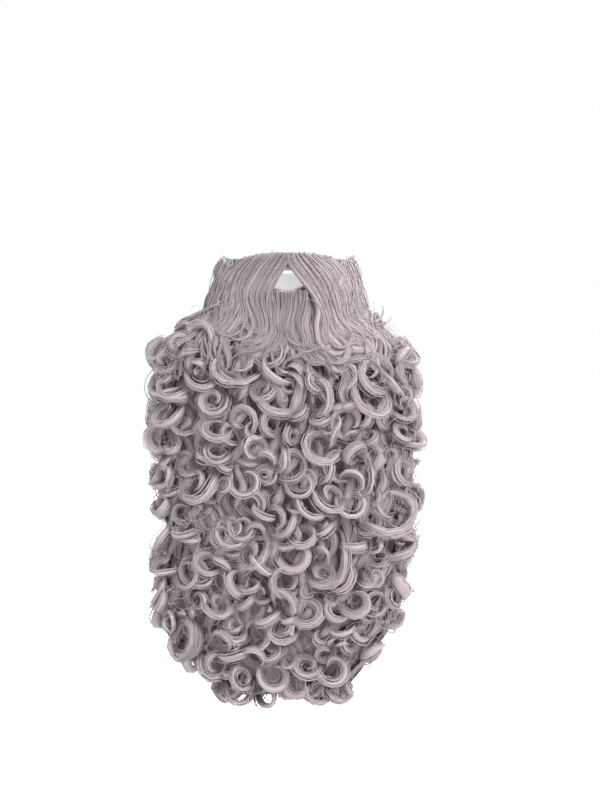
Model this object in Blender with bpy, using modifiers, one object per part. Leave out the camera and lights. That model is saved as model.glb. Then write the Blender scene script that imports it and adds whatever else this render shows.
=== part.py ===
"""A long curly grey fake beard with its moustache, on a cloth backing with an elastic head band.

Metres, +Z up. The wearer looks along -Y, so the beard's left side in a front view is at -X.
The origin is the tip of the wearer's chin, where it rests inside the backing.
"""

import math
from collections import namedtuple

import bmesh
import bpy
from mathutils import Vector

# Clearances between pieces
SEAM_GAP = 0.0006
HAIR_GAP = 0.0007
SPLIT_GAP = 0.0004

# Cloth backing and elastic band
CLOTH = 0.002
CHIN_CUP = 0.014
LIP_TOP = 0.078
EAR_TURN = math.radians(98)
BAND_WIDTH = 0.022
BAND_THICKNESS = 0.0015
BAND_HEIGHT = 0.062
BAND_DROP = 0.012
SEAM_TURN = math.radians(10)

# The lower face and head that the backing and band follow
EAR_HALF_WIDTH = 0.074
FACE_DEPTH = 0.095
HEAD_BACK = 0.095

# Under the chin the cloth slopes, so it reaches this many times its thickness outwards
UNDER_CHIN_SLOPE = 1.7

# Mouth opening in the backing
MOUTH_WIDTH = 0.050
MOUTH_OPENING = 0.026
MOUTH_HEIGHT = 0.046

# Curly hair: the fall below the chin and the hair on the jaw
FALL_LENGTH = 0.473
BEARD_HALF_WIDTH = 0.163
FRONT_DEPTH = 0.060
BACK_DEPTH = 0.045
EAR_TOP = 0.081
SECTION_POWER = 2.5
CURL_RADIUS = 0.024
CURL_THICKNESS = 0.012
RING_TURN = math.radians(310)
LEAN = math.radians(25)

# Straight hair: moustache wings and the tuft below the lip
WING_REACH = 0.080
LOCK_WIDTH = 0.0150
LOCK_THICKNESS = 0.008
LOCK_GAP = 0.0012
WING_BOW = 0.003
ROOT_STRIP_HEIGHT = 0.012
ROOT_STRIP_THICKNESS = 0.006
ROOT_STRIP_TURN = math.radians(36)
TUFT_LENGTH = 0.078
TUFT_WIDTH = 0.032
TUFT_ROOT_HEIGHT = 0.0285
TUFT_ROOT_DEPTH = 0.019

# Where the hair is divided into its sewn sections
JAW_SPLIT = -0.0165
CHEEK_SPLIT = 0.050
CHIN_HAIR_TOP = 0.022
CHIN_HAIR_BACK = 0.028

# Mesh resolution
FACE_STEPS = 20
SECTION_STEPS = 20
RING_STEPS = 5
LOCK_STEPS = 7
LOCK_SIDES = 6
CURL_SIDES = 4

# Far enough to pass right through the beard
FAR = 0.5

# height and setback are shares of LIP_TOP and FACE_DEPTH, width one of EAR_HALF_WIDTH
FaceRow = namedtuple("FaceRow", "height width setback")
FACE_ROWS = [
    FaceRow(-0.205, 0.41, 0.16),
    FaceRow(-0.10, 0.55, 0.05),
    FaceRow(0.00, 0.64, 0.00),
    FaceRow(0.22, 0.77, 0.00),
    FaceRow(0.50, 0.88, -0.01),
    FaceRow(0.80, 0.96, -0.02),
    FaceRow(1.00, 1.00, -0.02),
    FaceRow(1.20, 1.02, 0.00),
]

# The backing's outline: turn is a share of EAR_TURN, top one of LIP_TOP, bottom one of CHIN_CUP
EdgeRow = namedtuple("EdgeRow", "turn top bottom")
BACKING_EDGES = [
    EdgeRow(0.00, 1.00, -1.00),
    EdgeRow(0.25, 0.98, -0.92),
    EdgeRow(0.50, 0.92, -0.30),
    EdgeRow(0.75, 0.94, 1.40),
    EdgeRow(1.00, 1.00, 3.10),
]

# The hair mass without its curls, in level sections from the ears to the chin's tip.
# height is a share of EAR_TOP, left and right of BEARD_HALF_WIDTH, front and back of FACE_DEPTH.
JawRow = namedtuple("JawRow", "height left right front back")
JAW_ROWS = [
    JawRow(1.00, 0.48, 0.48, 0.56, 1.05),
    JawRow(0.70, 0.51, 0.51, 0.12, 1.09),
    JawRow(0.35, 0.54, 0.53, -0.13, 1.02),
    JawRow(0.00, 0.60, 0.58, -0.42, 0.82),
]

# The same below the chin: down is a share of FALL_LENGTH, left and right of BEARD_HALF_WIDTH,
# front of FRONT_DEPTH and back of BACK_DEPTH.
FallRow = namedtuple("FallRow", "down left right front back")
FALL_ROWS = [
    FallRow(0.048, 0.81, 0.73, 0.86, 1.20),
    FallRow(0.075, 0.92, 0.85, 0.92, 1.00),
    FallRow(0.145, 0.90, 0.87, 0.97, 0.80),
    FallRow(0.210, 0.92, 0.88, 1.00, 0.70),
    FallRow(0.360, 0.92, 0.90, 1.00, 0.60),
    FallRow(0.450, 0.90, 0.90, 0.99, 0.58),
    FallRow(0.540, 0.84, 0.85, 0.97, 0.56),
    FallRow(0.630, 0.89, 0.80, 0.93, 0.54),
    FallRow(0.710, 0.92, 0.79, 0.88, 0.50),
    FallRow(0.795, 0.86, 0.71, 0.80, 0.46),
    FallRow(0.860, 0.68, 0.58, 0.70, 0.40),
    FallRow(0.925, 0.52, 0.43, 0.55, 0.32),
    FallRow(0.965, 0.36, 0.34, 0.36, 0.22),
]

# The curls that stand out in front: across is a share of BEARD_HALF_WIDTH, down of FALL_LENGTH,
# radius of CURL_RADIUS, and sense is 1 where the lock winds counter-clockwise in the front view.
Curl = namedtuple("Curl", "across down radius sense")
FRONT_CURLS = [
    Curl(-0.68, 0.070, 0.86, -1),
    Curl(-0.35, 0.115, 1.26, -1),
    Curl(-0.82, 0.120, 0.80, 1),
    Curl(-0.18, 0.183, 0.66, -1),
    Curl(0.23, 0.165, 0.95, 1),
    Curl(0.58, 0.085, 0.90, -1),
    Curl(0.63, 0.170, 1.20, -1),
    Curl(-0.32, 0.256, 0.95, 1),
    Curl(-0.51, 0.277, 0.84, -1),
    Curl(-0.78, 0.260, 0.90, 1),
    Curl(0.50, 0.262, 0.80, -1),
    Curl(0.24, 0.321, 1.20, -1),
    Curl(-0.51, 0.350, 0.72, -1),
    Curl(-0.12, 0.357, 0.90, -1),
    Curl(-0.68, 0.419, 1.02, -1),
    Curl(0.48, 0.425, 1.02, -1),
    Curl(0.79, 0.378, 0.80, 1),
    Curl(-0.36, 0.420, 0.80, -1),
    Curl(0.29, 0.465, 0.96, -1),
    Curl(0.74, 0.482, 1.30, 1),
    Curl(-0.07, 0.507, 0.96, -1),
    Curl(-0.62, 0.515, 0.80, 1),
    Curl(0.13, 0.550, 0.75, 1),
    Curl(-0.27, 0.585, 0.84, -1),
    Curl(0.29, 0.610, 1.02, -1),
    Curl(-0.57, 0.611, 0.90, -1),
    Curl(0.60, 0.590, 0.80, 1),
    Curl(0.00, 0.660, 0.96, -1),
    Curl(-0.48, 0.715, 0.82, -1),
    Curl(0.15, 0.733, 0.90, 1),
    Curl(0.68, 0.700, 0.75, -1),
    Curl(-0.74, 0.790, 1.20, -1),
    Curl(-0.05, 0.779, 0.84, 1),
    Curl(0.45, 0.812, 0.80, -1),
    Curl(0.14, 0.868, 0.80, -1),
    Curl(-0.45, 0.885, 0.85, -1),
    Curl(0.34, 0.895, 0.90, 1),
    Curl(0.07, 0.938, 0.75, -1),
    Curl(0.30, 0.960, 0.66, -1),
]

# Curls on each flank and the looser ones behind, spaced evenly down the mass
FLANK_CURLS = 6
FLANK_TOP = 0.10
FLANK_BOTTOM = 0.80
BACK_COLUMNS = 3
BACK_ROWS = 4
BACK_TOP = 0.16
BACK_BOTTOM = 0.82
BACK_CURL_SIZE = 1.35
JAW_CURL_SIZE = 0.75
JAW_CURLS = 2

# Moustache locks, each a curve from its root past a bend to its tip. The across columns are
# shares of WING_REACH and the height columns of LIP_TOP.
WingLock = namedtuple("WingLock", "root_x root_z bend_x bend_z tip_x tip_z width")
LEFT_WING = [
    WingLock(-0.06, 0.94, -0.34, 0.58, -0.36, -0.02, 0.70),
    WingLock(-0.15, 0.93, -0.47, 0.70, -0.49, -0.04, 0.95),
    WingLock(-0.28, 0.91, -0.62, 0.66, -0.60, 0.00, 1.05),
    WingLock(-0.42, 0.87, -0.80, 0.60, -0.78, 0.08, 1.05),
    WingLock(-0.56, 0.81, -0.98, 0.56, -1.00, 0.16, 0.95),
]
RIGHT_WING = [
    WingLock(0.07, 0.94, 0.30, 0.60, 0.42, 0.14, 0.75),
    WingLock(0.16, 0.93, 0.46, 0.66, 0.54, 0.06, 1.00),
    WingLock(0.29, 0.91, 0.66, 0.66, 0.68, 0.00, 1.05),
    WingLock(0.43, 0.87, 0.82, 0.62, 0.84, 0.08, 1.00),
    WingLock(0.56, 0.82, 0.94, 0.56, 0.96, 0.18, 0.80),
]

# Tuft locks: across is a share of TUFT_WIDTH, length one of TUFT_LENGTH, sway sideways too
TuftLock = namedtuple("TuftLock", "across length sway")
TUFT_LOCKS = [
    TuftLock(-0.36, 0.85, -0.05),
    TuftLock(-0.12, 1.00, 0.10),
    TuftLock(0.13, 0.92, -0.06),
    TuftLock(0.37, 0.80, 0.05),
]

# Colours of the hair, the cloth and the band, linear
HAIR_COLOUR = (0.37, 0.33, 0.35, 1)
SHADED_HAIR_COLOUR = (0.27, 0.24, 0.26, 1)
CLOTH_COLOUR = (0.45, 0.43, 0.44, 1)
BAND_COLOUR = (0.62, 0.61, 0.62, 1)


def clear_scene():
    for obj in list(bpy.data.objects):
        bpy.data.objects.remove(obj)


def make_collection(name, helper=False):
    collection = bpy.data.collections.new(name)
    bpy.context.scene.collection.children.link(collection)
    collection.hide_render = helper
    return collection


def make_material(name, colour, roughness):
    material = bpy.data.materials.new(name)
    material.use_nodes = True
    shader = material.node_tree.nodes["Principled BSDF"]
    shader.inputs["Base Color"].default_value = colour
    shader.inputs["Roughness"].default_value = roughness
    return material


def make_object(name, mesh, collection, material=None):
    obj = bpy.data.objects.new(name, mesh)
    collection.objects.link(obj)
    if material:
        mesh.materials.clear()
        mesh.materials.append(material)
    if collection.hide_render:
        obj.hide_render = True
        obj.display_type = "WIRE"
    return obj


def mesh_from_rings(name, rings, closed_ends=True):
    """A mesh skinned over rings of equally many points, with a face over each end."""
    bm = bmesh.new()
    layers = [[bm.verts.new(point) for point in ring] for ring in rings]
    for lower, upper in zip(layers, layers[1:]):
        for i in range(len(lower)):
            j = (i + 1) % len(lower)
            bm.faces.new((lower[i], lower[j], upper[j], upper[i]))
    if closed_ends:
        bm.faces.new(layers[0])
        bm.faces.new(layers[-1])
    bmesh.ops.recalc_face_normals(bm, faces=bm.faces)
    mesh = bpy.data.meshes.new(name)
    bm.to_mesh(mesh)
    bm.free()
    return mesh


def mesh_from_grid(name, rows):
    """An open sheet over rows of points, whose normals point along row direction x column direction."""
    bm = bmesh.new()
    layers = [[bm.verts.new(point) for point in row] for row in rows]
    for lower, upper in zip(layers, layers[1:]):
        for i in range(len(lower) - 1):
            bm.faces.new((lower[i], lower[i + 1], upper[i + 1], upper[i]))
    mesh = bpy.data.meshes.new(name)
    bm.to_mesh(mesh)
    bm.free()
    return mesh


def box_mesh(name, low, high):
    bm = bmesh.new()
    bmesh.ops.create_cube(bm, size=1)
    for vert in bm.verts:
        for axis in range(3):
            vert.co[axis] = low[axis] if vert.co[axis] < 0 else high[axis]
    mesh = bpy.data.meshes.new(name)
    bm.to_mesh(mesh)
    bm.free()
    return mesh


def add_boolean(obj, operation, cutter):
    """cutter is one object, or a collection of objects."""
    modifier = obj.modifiers.new(operation.title(), "BOOLEAN")
    modifier.operation = operation
    if isinstance(cutter, bpy.types.Collection):
        modifier.operand_type = "COLLECTION"
        modifier.collection = cutter
    else:
        modifier.object = cutter


def evaluated_mesh(obj, name):
    graph = bpy.context.evaluated_depsgraph_get()
    mesh = bpy.data.meshes.new_from_object(obj.evaluated_get(graph), depsgraph=graph)
    mesh.name = name
    return mesh


def keep_main_body(mesh):
    """Deletes crumbs that a cut left loose, so that the mesh is the one fused body."""
    bm = bmesh.new()
    bm.from_mesh(mesh)
    unseen = set(bm.faces)
    bodies = []
    while unseen:
        body = set()
        reached = {unseen.pop()}
        while reached:
            body |= reached
            reached = {face for old in reached for e in old.edges for face in e.link_faces} - body
        unseen -= body
        bodies.append(body)
    for crumb in sorted(bodies, key=len)[:-1]:
        bmesh.ops.delete(bm, geom=list(crumb), context="FACES")
    bm.to_mesh(mesh)
    bm.free()


def between(rows, key, value):
    """The row at that value of the key column, worked out between its neighbours in the table."""
    rows = sorted(rows, key=lambda row: getattr(row, key))
    if value <= getattr(rows[0], key):
        return rows[0]
    for low, high in zip(rows, rows[1:]):
        start, end = getattr(low, key), getattr(high, key)
        if value <= end:
            share = (value - start) / (end - start)
            return type(low)(*(a + (b - a) * share for a, b in zip(low, high)))
    return rows[-1]


def face_point(turn, height, outwards=0.0):
    """A point on the face or head, turned from straight ahead towards +X, moved out level."""
    row = between(FACE_ROWS, "height", height / LIP_TOP)
    half_width = row.width * EAR_HALF_WIDTH + outwards
    front = FACE_DEPTH * (1 - row.setback) + outwards
    depth = front if abs(turn) < math.pi / 2 else HEAD_BACK + outwards
    return Vector((half_width * math.sin(turn), FACE_DEPTH - depth * math.cos(turn), height))


def steps(start, end, count):
    return [start + (end - start) * i / count for i in range(count + 1)]


def build_backing(cutters, parts, material):
    """The cloth that wraps chin and jaw from ear to ear, with its opening for the mouth."""
    columns = []
    for turn in steps(-EAR_TURN, EAR_TURN, FACE_STEPS):
        edge = between(BACKING_EDGES, "turn", abs(turn) / EAR_TURN)
        heights = steps(edge.bottom * CHIN_CUP, edge.top * LIP_TOP, len(FACE_ROWS))
        columns.append([face_point(turn, height) for height in heights])
    rows = list(zip(*columns))
    backing = make_object("face_backing", mesh_from_grid("face_backing", rows), parts, material)
    wall = backing.modifiers.new("Wall", "SOLIDIFY")
    wall.thickness = CLOTH
    wall.offset = 1
    bm = bmesh.new()
    bmesh.ops.create_cone(
        bm, cap_ends=True, segments=24, radius1=MOUTH_WIDTH / 2, radius2=MOUTH_WIDTH / 2, depth=FAR / 5
    )
    for vert in bm.verts:
        across, upwards, along = vert.co
        vert.co = (across, along, MOUTH_HEIGHT - upwards * MOUTH_OPENING / MOUTH_WIDTH)
    mesh = bpy.data.meshes.new("mouth_cutter")
    bm.to_mesh(mesh)
    bm.free()
    add_boolean(backing, "DIFFERENCE", make_object("mouth_cutter", mesh, cutters))


def build_band(parts, material):
    """The elastic band round the back of the head, sewn inside both ends of the backing."""
    inside = -(SEAM_GAP + BAND_THICKNESS)
    rows = [[], []]
    first_turn = EAR_TURN - SEAM_TURN
    for turn in steps(first_turn, 2 * math.pi - first_turn, 2 * FACE_STEPS):
        behind = 0.5 - 0.5 * math.cos((turn - first_turn) / (math.pi - first_turn) * math.pi)
        height = BAND_HEIGHT - BAND_DROP * behind
        rows[0].append(face_point(turn, height - BAND_WIDTH / 2, inside))
        rows[1].append(face_point(turn, height + BAND_WIDTH / 2, inside))
    band = make_object("elastic_strap", mesh_from_grid("elastic_strap", rows), parts, material)
    wall = band.modifiers.new("Wall", "SOLIDIFY")
    wall.thickness = BAND_THICKNESS
    wall.offset = 1


def hair_section(height):
    """(left, right, front y, back y) of the hair mass without its curls at that height."""
    if height >= 0:
        row = between(JAW_ROWS, "height", height / EAR_TOP)
        front, back = row.front * FACE_DEPTH, row.back * FACE_DEPTH
    else:
        top = JAW_ROWS[-1]
        chin = FallRow(
            0, top.left, top.right, -top.front * FACE_DEPTH / FRONT_DEPTH, top.back * FACE_DEPTH / BACK_DEPTH
        )
        row = between([chin, *FALL_ROWS], "down", -height / FALL_LENGTH)
        front, back = -row.front * FRONT_DEPTH, row.back * BACK_DEPTH
    return row.left * BEARD_HALF_WIDTH, row.right * BEARD_HALF_WIDTH, front, back


def around_section(height, turn):
    """A point on the hair mass and its level outward normal, turned from straight ahead towards +X."""
    left, right, front, back = hair_section(height)
    half = right if math.sin(turn) > 0 else left
    middle, depth = (front + back) / 2, (back - front) / 2
    sine, cosine = math.sin(turn), math.cos(turn)
    power = 2 / SECTION_POWER
    x = half * math.copysign(abs(sine) ** power, sine)
    y = middle - depth * math.copysign(abs(cosine) ** power, cosine)
    slope_x = math.copysign(abs(x / half) ** (SECTION_POWER - 1), x) / half
    slope_y = math.copysign(abs((y - middle) / depth) ** (SECTION_POWER - 1), y - middle) / depth
    return Vector((x, y, height)), Vector((slope_x, slope_y, 0)).normalized()


def front_turn(height, x):
    """The turn at which the section's front passes x."""
    left, right, _, _ = hair_section(height)
    share = min(abs(x) / (right if x > 0 else left), 0.97)
    return math.copysign(math.asin(share ** (SECTION_POWER / 2)), x)


def front_of_hair(x, height):
    """y of whatever lies in front at that x and height: the hair mass or the bare face."""
    hair = around_section(height, front_turn(height, x))[0].y
    row = between(FACE_ROWS, "height", height / LIP_TOP)
    sideways = min(abs(x) / (row.width * EAR_HALF_WIDTH), 0.97)
    face = face_point(math.asin(sideways), height, CLOTH).y
    return min(hair, face)


def mass_mesh(name):
    """The plain body of the curly hair, skinned over its level sections."""
    heights = [row.height * EAR_TOP for row in JAW_ROWS] + [-row.down * FALL_LENGTH for row in FALL_ROWS]
    turns = steps(-math.pi, math.pi, SECTION_STEPS)[:-1]
    rings = [[around_section(height, turn)[0] for turn in turns] for height in heights]
    return mesh_from_rings(name, rings)


def lock_mesh(name, centres, widths, thicknesses, sides):
    """A lock of hair: flattened sections along its centre line. widths and thicknesses are vectors
    from the middle of each section to its edge and to its face."""
    rings = []
    for centre, width, thickness in zip(centres, widths, thicknesses):
        angles = [2 * math.pi * i / sides for i in range(sides)]
        rings.append([centre + width * math.cos(a) + thickness * math.sin(a) for a in angles])
    return mesh_from_rings(name, rings)


def curl_mesh(name, place, normal, radius, sense, lean):
    """A lock that hangs down out of the mass and winds once into a ring, with a ridge on its front.
    sense is 1 where it winds counter-clockwise seen from outside, and lean turns it by an angle."""
    sideways = normal.cross(Vector((0, 0, -1))).normalized()
    upwards = normal.cross(sideways)
    start = lean if sense < 0 else math.pi + lean
    centres, widths, thicknesses = [], [], []
    for share in steps(-2 / RING_STEPS, 1, RING_STEPS + 2):
        angle = start + sense * RING_TURN * max(share, 0)
        outward = sideways * math.cos(angle) + upwards * math.sin(angle)
        along = (upwards * math.cos(angle) - sideways * math.sin(angle)) * sense
        above = max(-share, 0) * RING_STEPS * radius * 0.75
        inwards = 0.72 - 0.40 * max(share, 0)
        centre = place + outward * (radius * inwards + 0.12 * above) - along * above
        centres.append(centre - normal * (0.12 * above + 0.25 * CURL_THICKNESS))
        widths.append(outward * radius * (0.34 - 0.12 * max(share, 0)))
        thicknesses.append(normal * CURL_THICKNESS * (1 - 0.35 * abs(share)))
    return lock_mesh(name, centres, widths, thicknesses, CURL_SIDES)


def curl_places():
    """(place, normal, radius, sense) of every curl: the front ones from their table, and those of
    the flanks, the back and the jaw by rule."""
    for curl in FRONT_CURLS:
        height = -curl.down * FALL_LENGTH
        place, normal = around_section(height, front_turn(height, curl.across * BEARD_HALF_WIDTH))
        yield place, normal, curl.radius * CURL_RADIUS, curl.sense
    for side in (-1, 1):
        for i, down in enumerate(steps(FLANK_TOP, FLANK_BOTTOM, FLANK_CURLS - 1)):
            turn = math.radians(84 + 16 * (i % 2)) * side
            place, normal = around_section(-down * FALL_LENGTH, turn)
            yield place, normal, CURL_RADIUS * (0.9 + 0.15 * (i % 3)), side
        for i, height in enumerate(steps(0.11, 0.49, JAW_CURLS - 1)):
            place, normal = around_section(height * EAR_TOP, math.radians(94 + 8 * i) * side)
            yield place, normal, CURL_RADIUS * JAW_CURL_SIZE, -side
    for i, down in enumerate(steps(BACK_TOP, BACK_BOTTOM, BACK_ROWS - 1)):
        for column in range(BACK_COLUMNS - i % 2):
            offset = column - (BACK_COLUMNS - 1 - i % 2) / 2
            place, normal = around_section(-down * FALL_LENGTH, math.pi - 0.62 * offset)
            radius = CURL_RADIUS * BACK_CURL_SIZE * (1 - 0.3 * down)
            yield place, normal, radius, 1 if column % 2 else -1


def build_face_form(cutters):
    """The head with the cloth on it, run straight out behind: it hollows the hair."""
    turns = steps(-math.pi / 2, math.pi / 2, FACE_STEPS)
    rings = []
    for row in FACE_ROWS:
        height = row.height * LIP_TOP
        outwards = (CLOTH + HAIR_GAP) * (UNDER_CHIN_SLOPE if height < 0 else 1)
        ring = [face_point(turn, height, outwards) for turn in turns]
        ring += [Vector((ring[-1].x, FAR, height)), Vector((ring[0].x, FAR, height))]
        rings.append(ring)
    return make_object("face_form", mesh_from_rings("face_form", rings), cutters)


def build_curly_hair(cutters, parts, materials):
    """Divides the mass where the hair is sewn, hollows it for the face and fuses the curls to it."""
    face_form = build_face_form(cutters)
    near, far = SPLIT_GAP / 2, FAR
    floor = JAW_SPLIT + near
    inside, outside = CHEEK_SPLIT - near, CHEEK_SPLIT + near
    regions = {
        "beard_fall": ((-far, -far, -far), (far, far, JAW_SPLIT - near), "long"),
        "chin_hair": ((-inside, -far, floor), (inside, CHIN_HAIR_BACK, CHIN_HAIR_TOP), "short"),
        "cheek_hair_left": ((-far, -far, floor), (-outside, far, far), "short"),
        "cheek_hair_right": ((outside, -far, floor), (far, far, far), "short"),
    }
    for name, (low, high, length) in regions.items():
        region = make_object(name + "_region", box_mesh(name + "_region", low, high), cutters)
        if name != "beard_fall":
            add_boolean(region, "DIFFERENCE", face_form)
        curls = make_collection(name + "_curls", helper=True)
        for i, (place, normal, radius, sense) in enumerate(curl_places()):
            if all(low[axis] < place[axis] < high[axis] for axis in range(3)):
                mesh = curl_mesh(f"{name}_curl_{i}", place, normal, radius, sense, LEAN * math.sin(3 * i))
                curl = make_object(mesh.name, mesh, curls)
                if JAW_SPLIT - 3 * radius < place.z < JAW_SPLIT:
                    add_boolean(curl, "INTERSECT", region)
        mass = make_object(name + "_mass", mass_mesh(name + "_mass"), cutters)
        if name == "beard_fall":
            add_boolean(mass, "INTERSECT", region)
            add_boolean(mass, "UNION", curls)
        else:
            if curls.objects:
                add_boolean(mass, "UNION", curls)
            add_boolean(mass, "INTERSECT", region)
        mesh = evaluated_mesh(mass, name)
        keep_main_body(mesh)
        make_object(name, mesh, parts, materials[length])


def bezier(root, bend, tip, share):
    return root * (1 - share) ** 2 + bend * 2 * share * (1 - share) + tip * share**2


def straight_lock_mesh(name, line, width, bow=0.0):
    """A straight lock along a line of points in the front view, lying on what is behind it and
    bowed forward of it at the middle of its length."""
    centres, widths, thicknesses = [], [], []
    for i, point in enumerate(line):
        share = i / (len(line) - 1)
        ahead = line[min(i + 1, len(line) - 1)] - line[max(i - 1, 0)]
        across = Vector((ahead.z, 0, -ahead.x)).normalized() * width / 2
        taper = 0.55 + 0.45 * math.sin(math.pi * min(0.25 + share, 0.85))
        if share > 0.7:
            taper *= 1 - 1.6 * (share - 0.7)
        edges = [point + across * side for side in (-1, -0.5, 0, 0.5, 1)]
        behind = min(front_of_hair(edge.x, edge.z) for edge in edges)
        clear = LOCK_THICKNESS / 2 + LOCK_GAP + bow * math.sin(math.pi * share)
        centres.append(Vector((point.x, behind - clear, point.z)))
        widths.append(across * taper)
        thicknesses.append(Vector((0, -LOCK_THICKNESS / 2, 0)) * taper)
    return lock_mesh(name, centres, widths, thicknesses, LOCK_SIDES)


def build_wing(name, side, table, cutters, parts, material):
    """One moustache wing: its locks fused to the strip that is sewn along the lip."""
    rings = []
    for turn in steps(math.radians(1.2), ROOT_STRIP_TURN, LOCK_STEPS):
        share = turn / ROOT_STRIP_TURN
        middle = LIP_TOP * (0.92 - 0.13 * share**2)
        low, high = middle - ROOT_STRIP_HEIGHT / 2, middle + ROOT_STRIP_HEIGHT / 2
        inner = CLOTH + HAIR_GAP
        outer = inner + ROOT_STRIP_THICKNESS
        corners = [(low, inner), (high, inner), (high, outer), (low, outer)]
        rings.append([face_point(side * turn, height, out) for height, out in corners])
    strip = make_object(name + "_strip", mesh_from_rings(name + "_strip", rings), cutters)
    locks = make_collection(name + "_locks", helper=True)
    for i, row in enumerate(table):
        root = Vector((row.root_x * WING_REACH, 0, row.root_z * LIP_TOP))
        bend = Vector((row.bend_x * WING_REACH, 0, row.bend_z * LIP_TOP))
        tip = Vector((row.tip_x * WING_REACH, 0, row.tip_z * LIP_TOP))
        line = [bezier(root, bend, tip, share) for share in steps(0, 1, LOCK_STEPS)]
        mesh = straight_lock_mesh(f"{name}_lock_{i}", line, row.width * LOCK_WIDTH, WING_BOW)
        make_object(f"{name}_lock_{i}", mesh, locks)
    add_boolean(strip, "UNION", locks)
    mesh = evaluated_mesh(strip, name)
    keep_main_body(mesh)
    make_object(name, mesh, parts, material)


def build_tuft(cutters, parts, material):
    """The hair below the lip: wavy locks fused to the strip sewn under the mouth opening."""
    inner, outer = CLOTH + HAIR_GAP, TUFT_ROOT_DEPTH
    half_turn = math.asin(TUFT_WIDTH / 2 / EAR_HALF_WIDTH)
    low = TUFT_ROOT_HEIGHT - ROOT_STRIP_HEIGHT / 4
    high = TUFT_ROOT_HEIGHT + ROOT_STRIP_HEIGHT / 4
    rings = []
    for turn in steps(-half_turn, half_turn, LOCK_STEPS):
        corners = [(low, inner), (high, inner), (high, outer), (low, outer)]
        rings.append([face_point(turn, height, out) for height, out in corners])
    strip = make_object("lip_tuft_strip", mesh_from_rings("lip_tuft_strip", rings), cutters)
    locks = make_collection("lip_tuft_locks", helper=True)
    for i, row in enumerate(TUFT_LOCKS):
        line = []
        for share in steps(0, 1, LOCK_STEPS):
            height = TUFT_ROOT_HEIGHT - share * row.length * TUFT_LENGTH
            sway = row.sway * math.sin(2 * math.pi * share)
            line.append(Vector(((row.across + sway) * TUFT_WIDTH, 0, height)))
        mesh = straight_lock_mesh(f"lip_tuft_lock_{i}", line, LOCK_WIDTH)
        make_object(f"lip_tuft_lock_{i}", mesh, locks)
    add_boolean(strip, "UNION", locks)
    mesh = evaluated_mesh(strip, "lip_tuft")
    keep_main_body(mesh)
    make_object("lip_tuft", mesh, parts, material)


def main():
    clear_scene()
    parts = make_collection("curly_beard")
    cutters = make_collection("cutters", helper=True)
    hair = make_material("grey_hair", HAIR_COLOUR, 0.42)
    shaded_hair = make_material("shaded_grey_hair", SHADED_HAIR_COLOUR, 0.5)
    cloth = make_material("backing_cloth", CLOTH_COLOUR, 0.9)
    elastic = make_material("woven_elastic", BAND_COLOUR, 0.8)
    build_backing(cutters, parts, cloth)
    build_band(parts, elastic)
    build_curly_hair(cutters, parts, {"long": hair, "short": shaded_hair})
    build_wing("moustache_left", -1, LEFT_WING, cutters, parts, hair)
    build_wing("moustache_right", 1, RIGHT_WING, cutters, parts, hair)
    build_tuft(cutters, parts, hair)


main()
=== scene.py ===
"""The looks of a long curly grey fake beard: combed moustache, curled locks, cloth backing and band."""

import math
from collections import namedtuple

import bmesh
import bpy
import numpy as np
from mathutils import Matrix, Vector


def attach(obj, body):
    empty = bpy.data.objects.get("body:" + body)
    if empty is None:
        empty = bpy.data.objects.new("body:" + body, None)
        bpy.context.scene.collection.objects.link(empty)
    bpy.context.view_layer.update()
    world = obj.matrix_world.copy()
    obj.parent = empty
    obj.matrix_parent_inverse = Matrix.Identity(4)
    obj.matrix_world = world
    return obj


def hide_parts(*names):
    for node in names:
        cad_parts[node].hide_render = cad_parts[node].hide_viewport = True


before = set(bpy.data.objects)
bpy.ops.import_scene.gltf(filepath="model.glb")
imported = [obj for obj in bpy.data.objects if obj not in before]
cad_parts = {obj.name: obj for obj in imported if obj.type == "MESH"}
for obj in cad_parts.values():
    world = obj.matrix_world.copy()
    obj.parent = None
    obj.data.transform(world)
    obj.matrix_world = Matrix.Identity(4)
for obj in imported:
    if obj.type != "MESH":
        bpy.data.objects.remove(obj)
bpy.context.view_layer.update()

RNG = np.random.default_rng(2024)
MM = 0.001

# The form that the cloth is cut to fit, from lip to chin and from ear to ear
LIP_TOP = 0.078
EAR_HALF_WIDTH = 0.074
FACE_DEPTH = 0.095
HEAD_BACK = 0.095
CHIN_CUP = 0.014
EAR_TURN = math.radians(98)

# The cloth, its mouth opening and the elastic band
CLOTH = 0.002
MOUTH_WIDTH = 0.050
MOUTH_OPENING = 0.026
MOUTH_HEIGHT = 0.046
SEAM_GAP = 0.0006
BAND_WIDTH = 0.022
BAND_THICKNESS = 0.0015
BAND_HEIGHT = 0.062
BAND_DROP = 0.012
BAND_START = EAR_TURN - math.radians(10)
BAND_RIBS = 11
RIB_HEIGHT = 0.12 * MM
HEM = 4 * MM

# The hair mass
BEARD_HALF_WIDTH = 0.163
FALL_LENGTH = 0.473
SECTION_POWER = 2.5

# A lock's strands: their radius, how far they stray and how much the lock bulges. A curl's tip keeps
# a share of its radius, and its turns move along its axis by a share of it
Make = namedtuple("Make", "radius loose bulge")
CURLED = Make(0.60 * MM, 1.0, 0.2)
COMBED = Make(0.55 * MM, 0.7, 0.4)
CURL_END = 0.5
CURL_PITCH = 0.9

# The under-hair of the fall: its flat top, where its side begins, its lower end, its ridges, the
# points round it and how far it lies inside the mass
CORE_TOP = -0.017
CORE_SHOULDER = -0.026
CORE_LOW = -0.450
CORE_RIDGES = 42
CORE_COLUMNS = 252
CORE_INSET = 6 * MM

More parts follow.
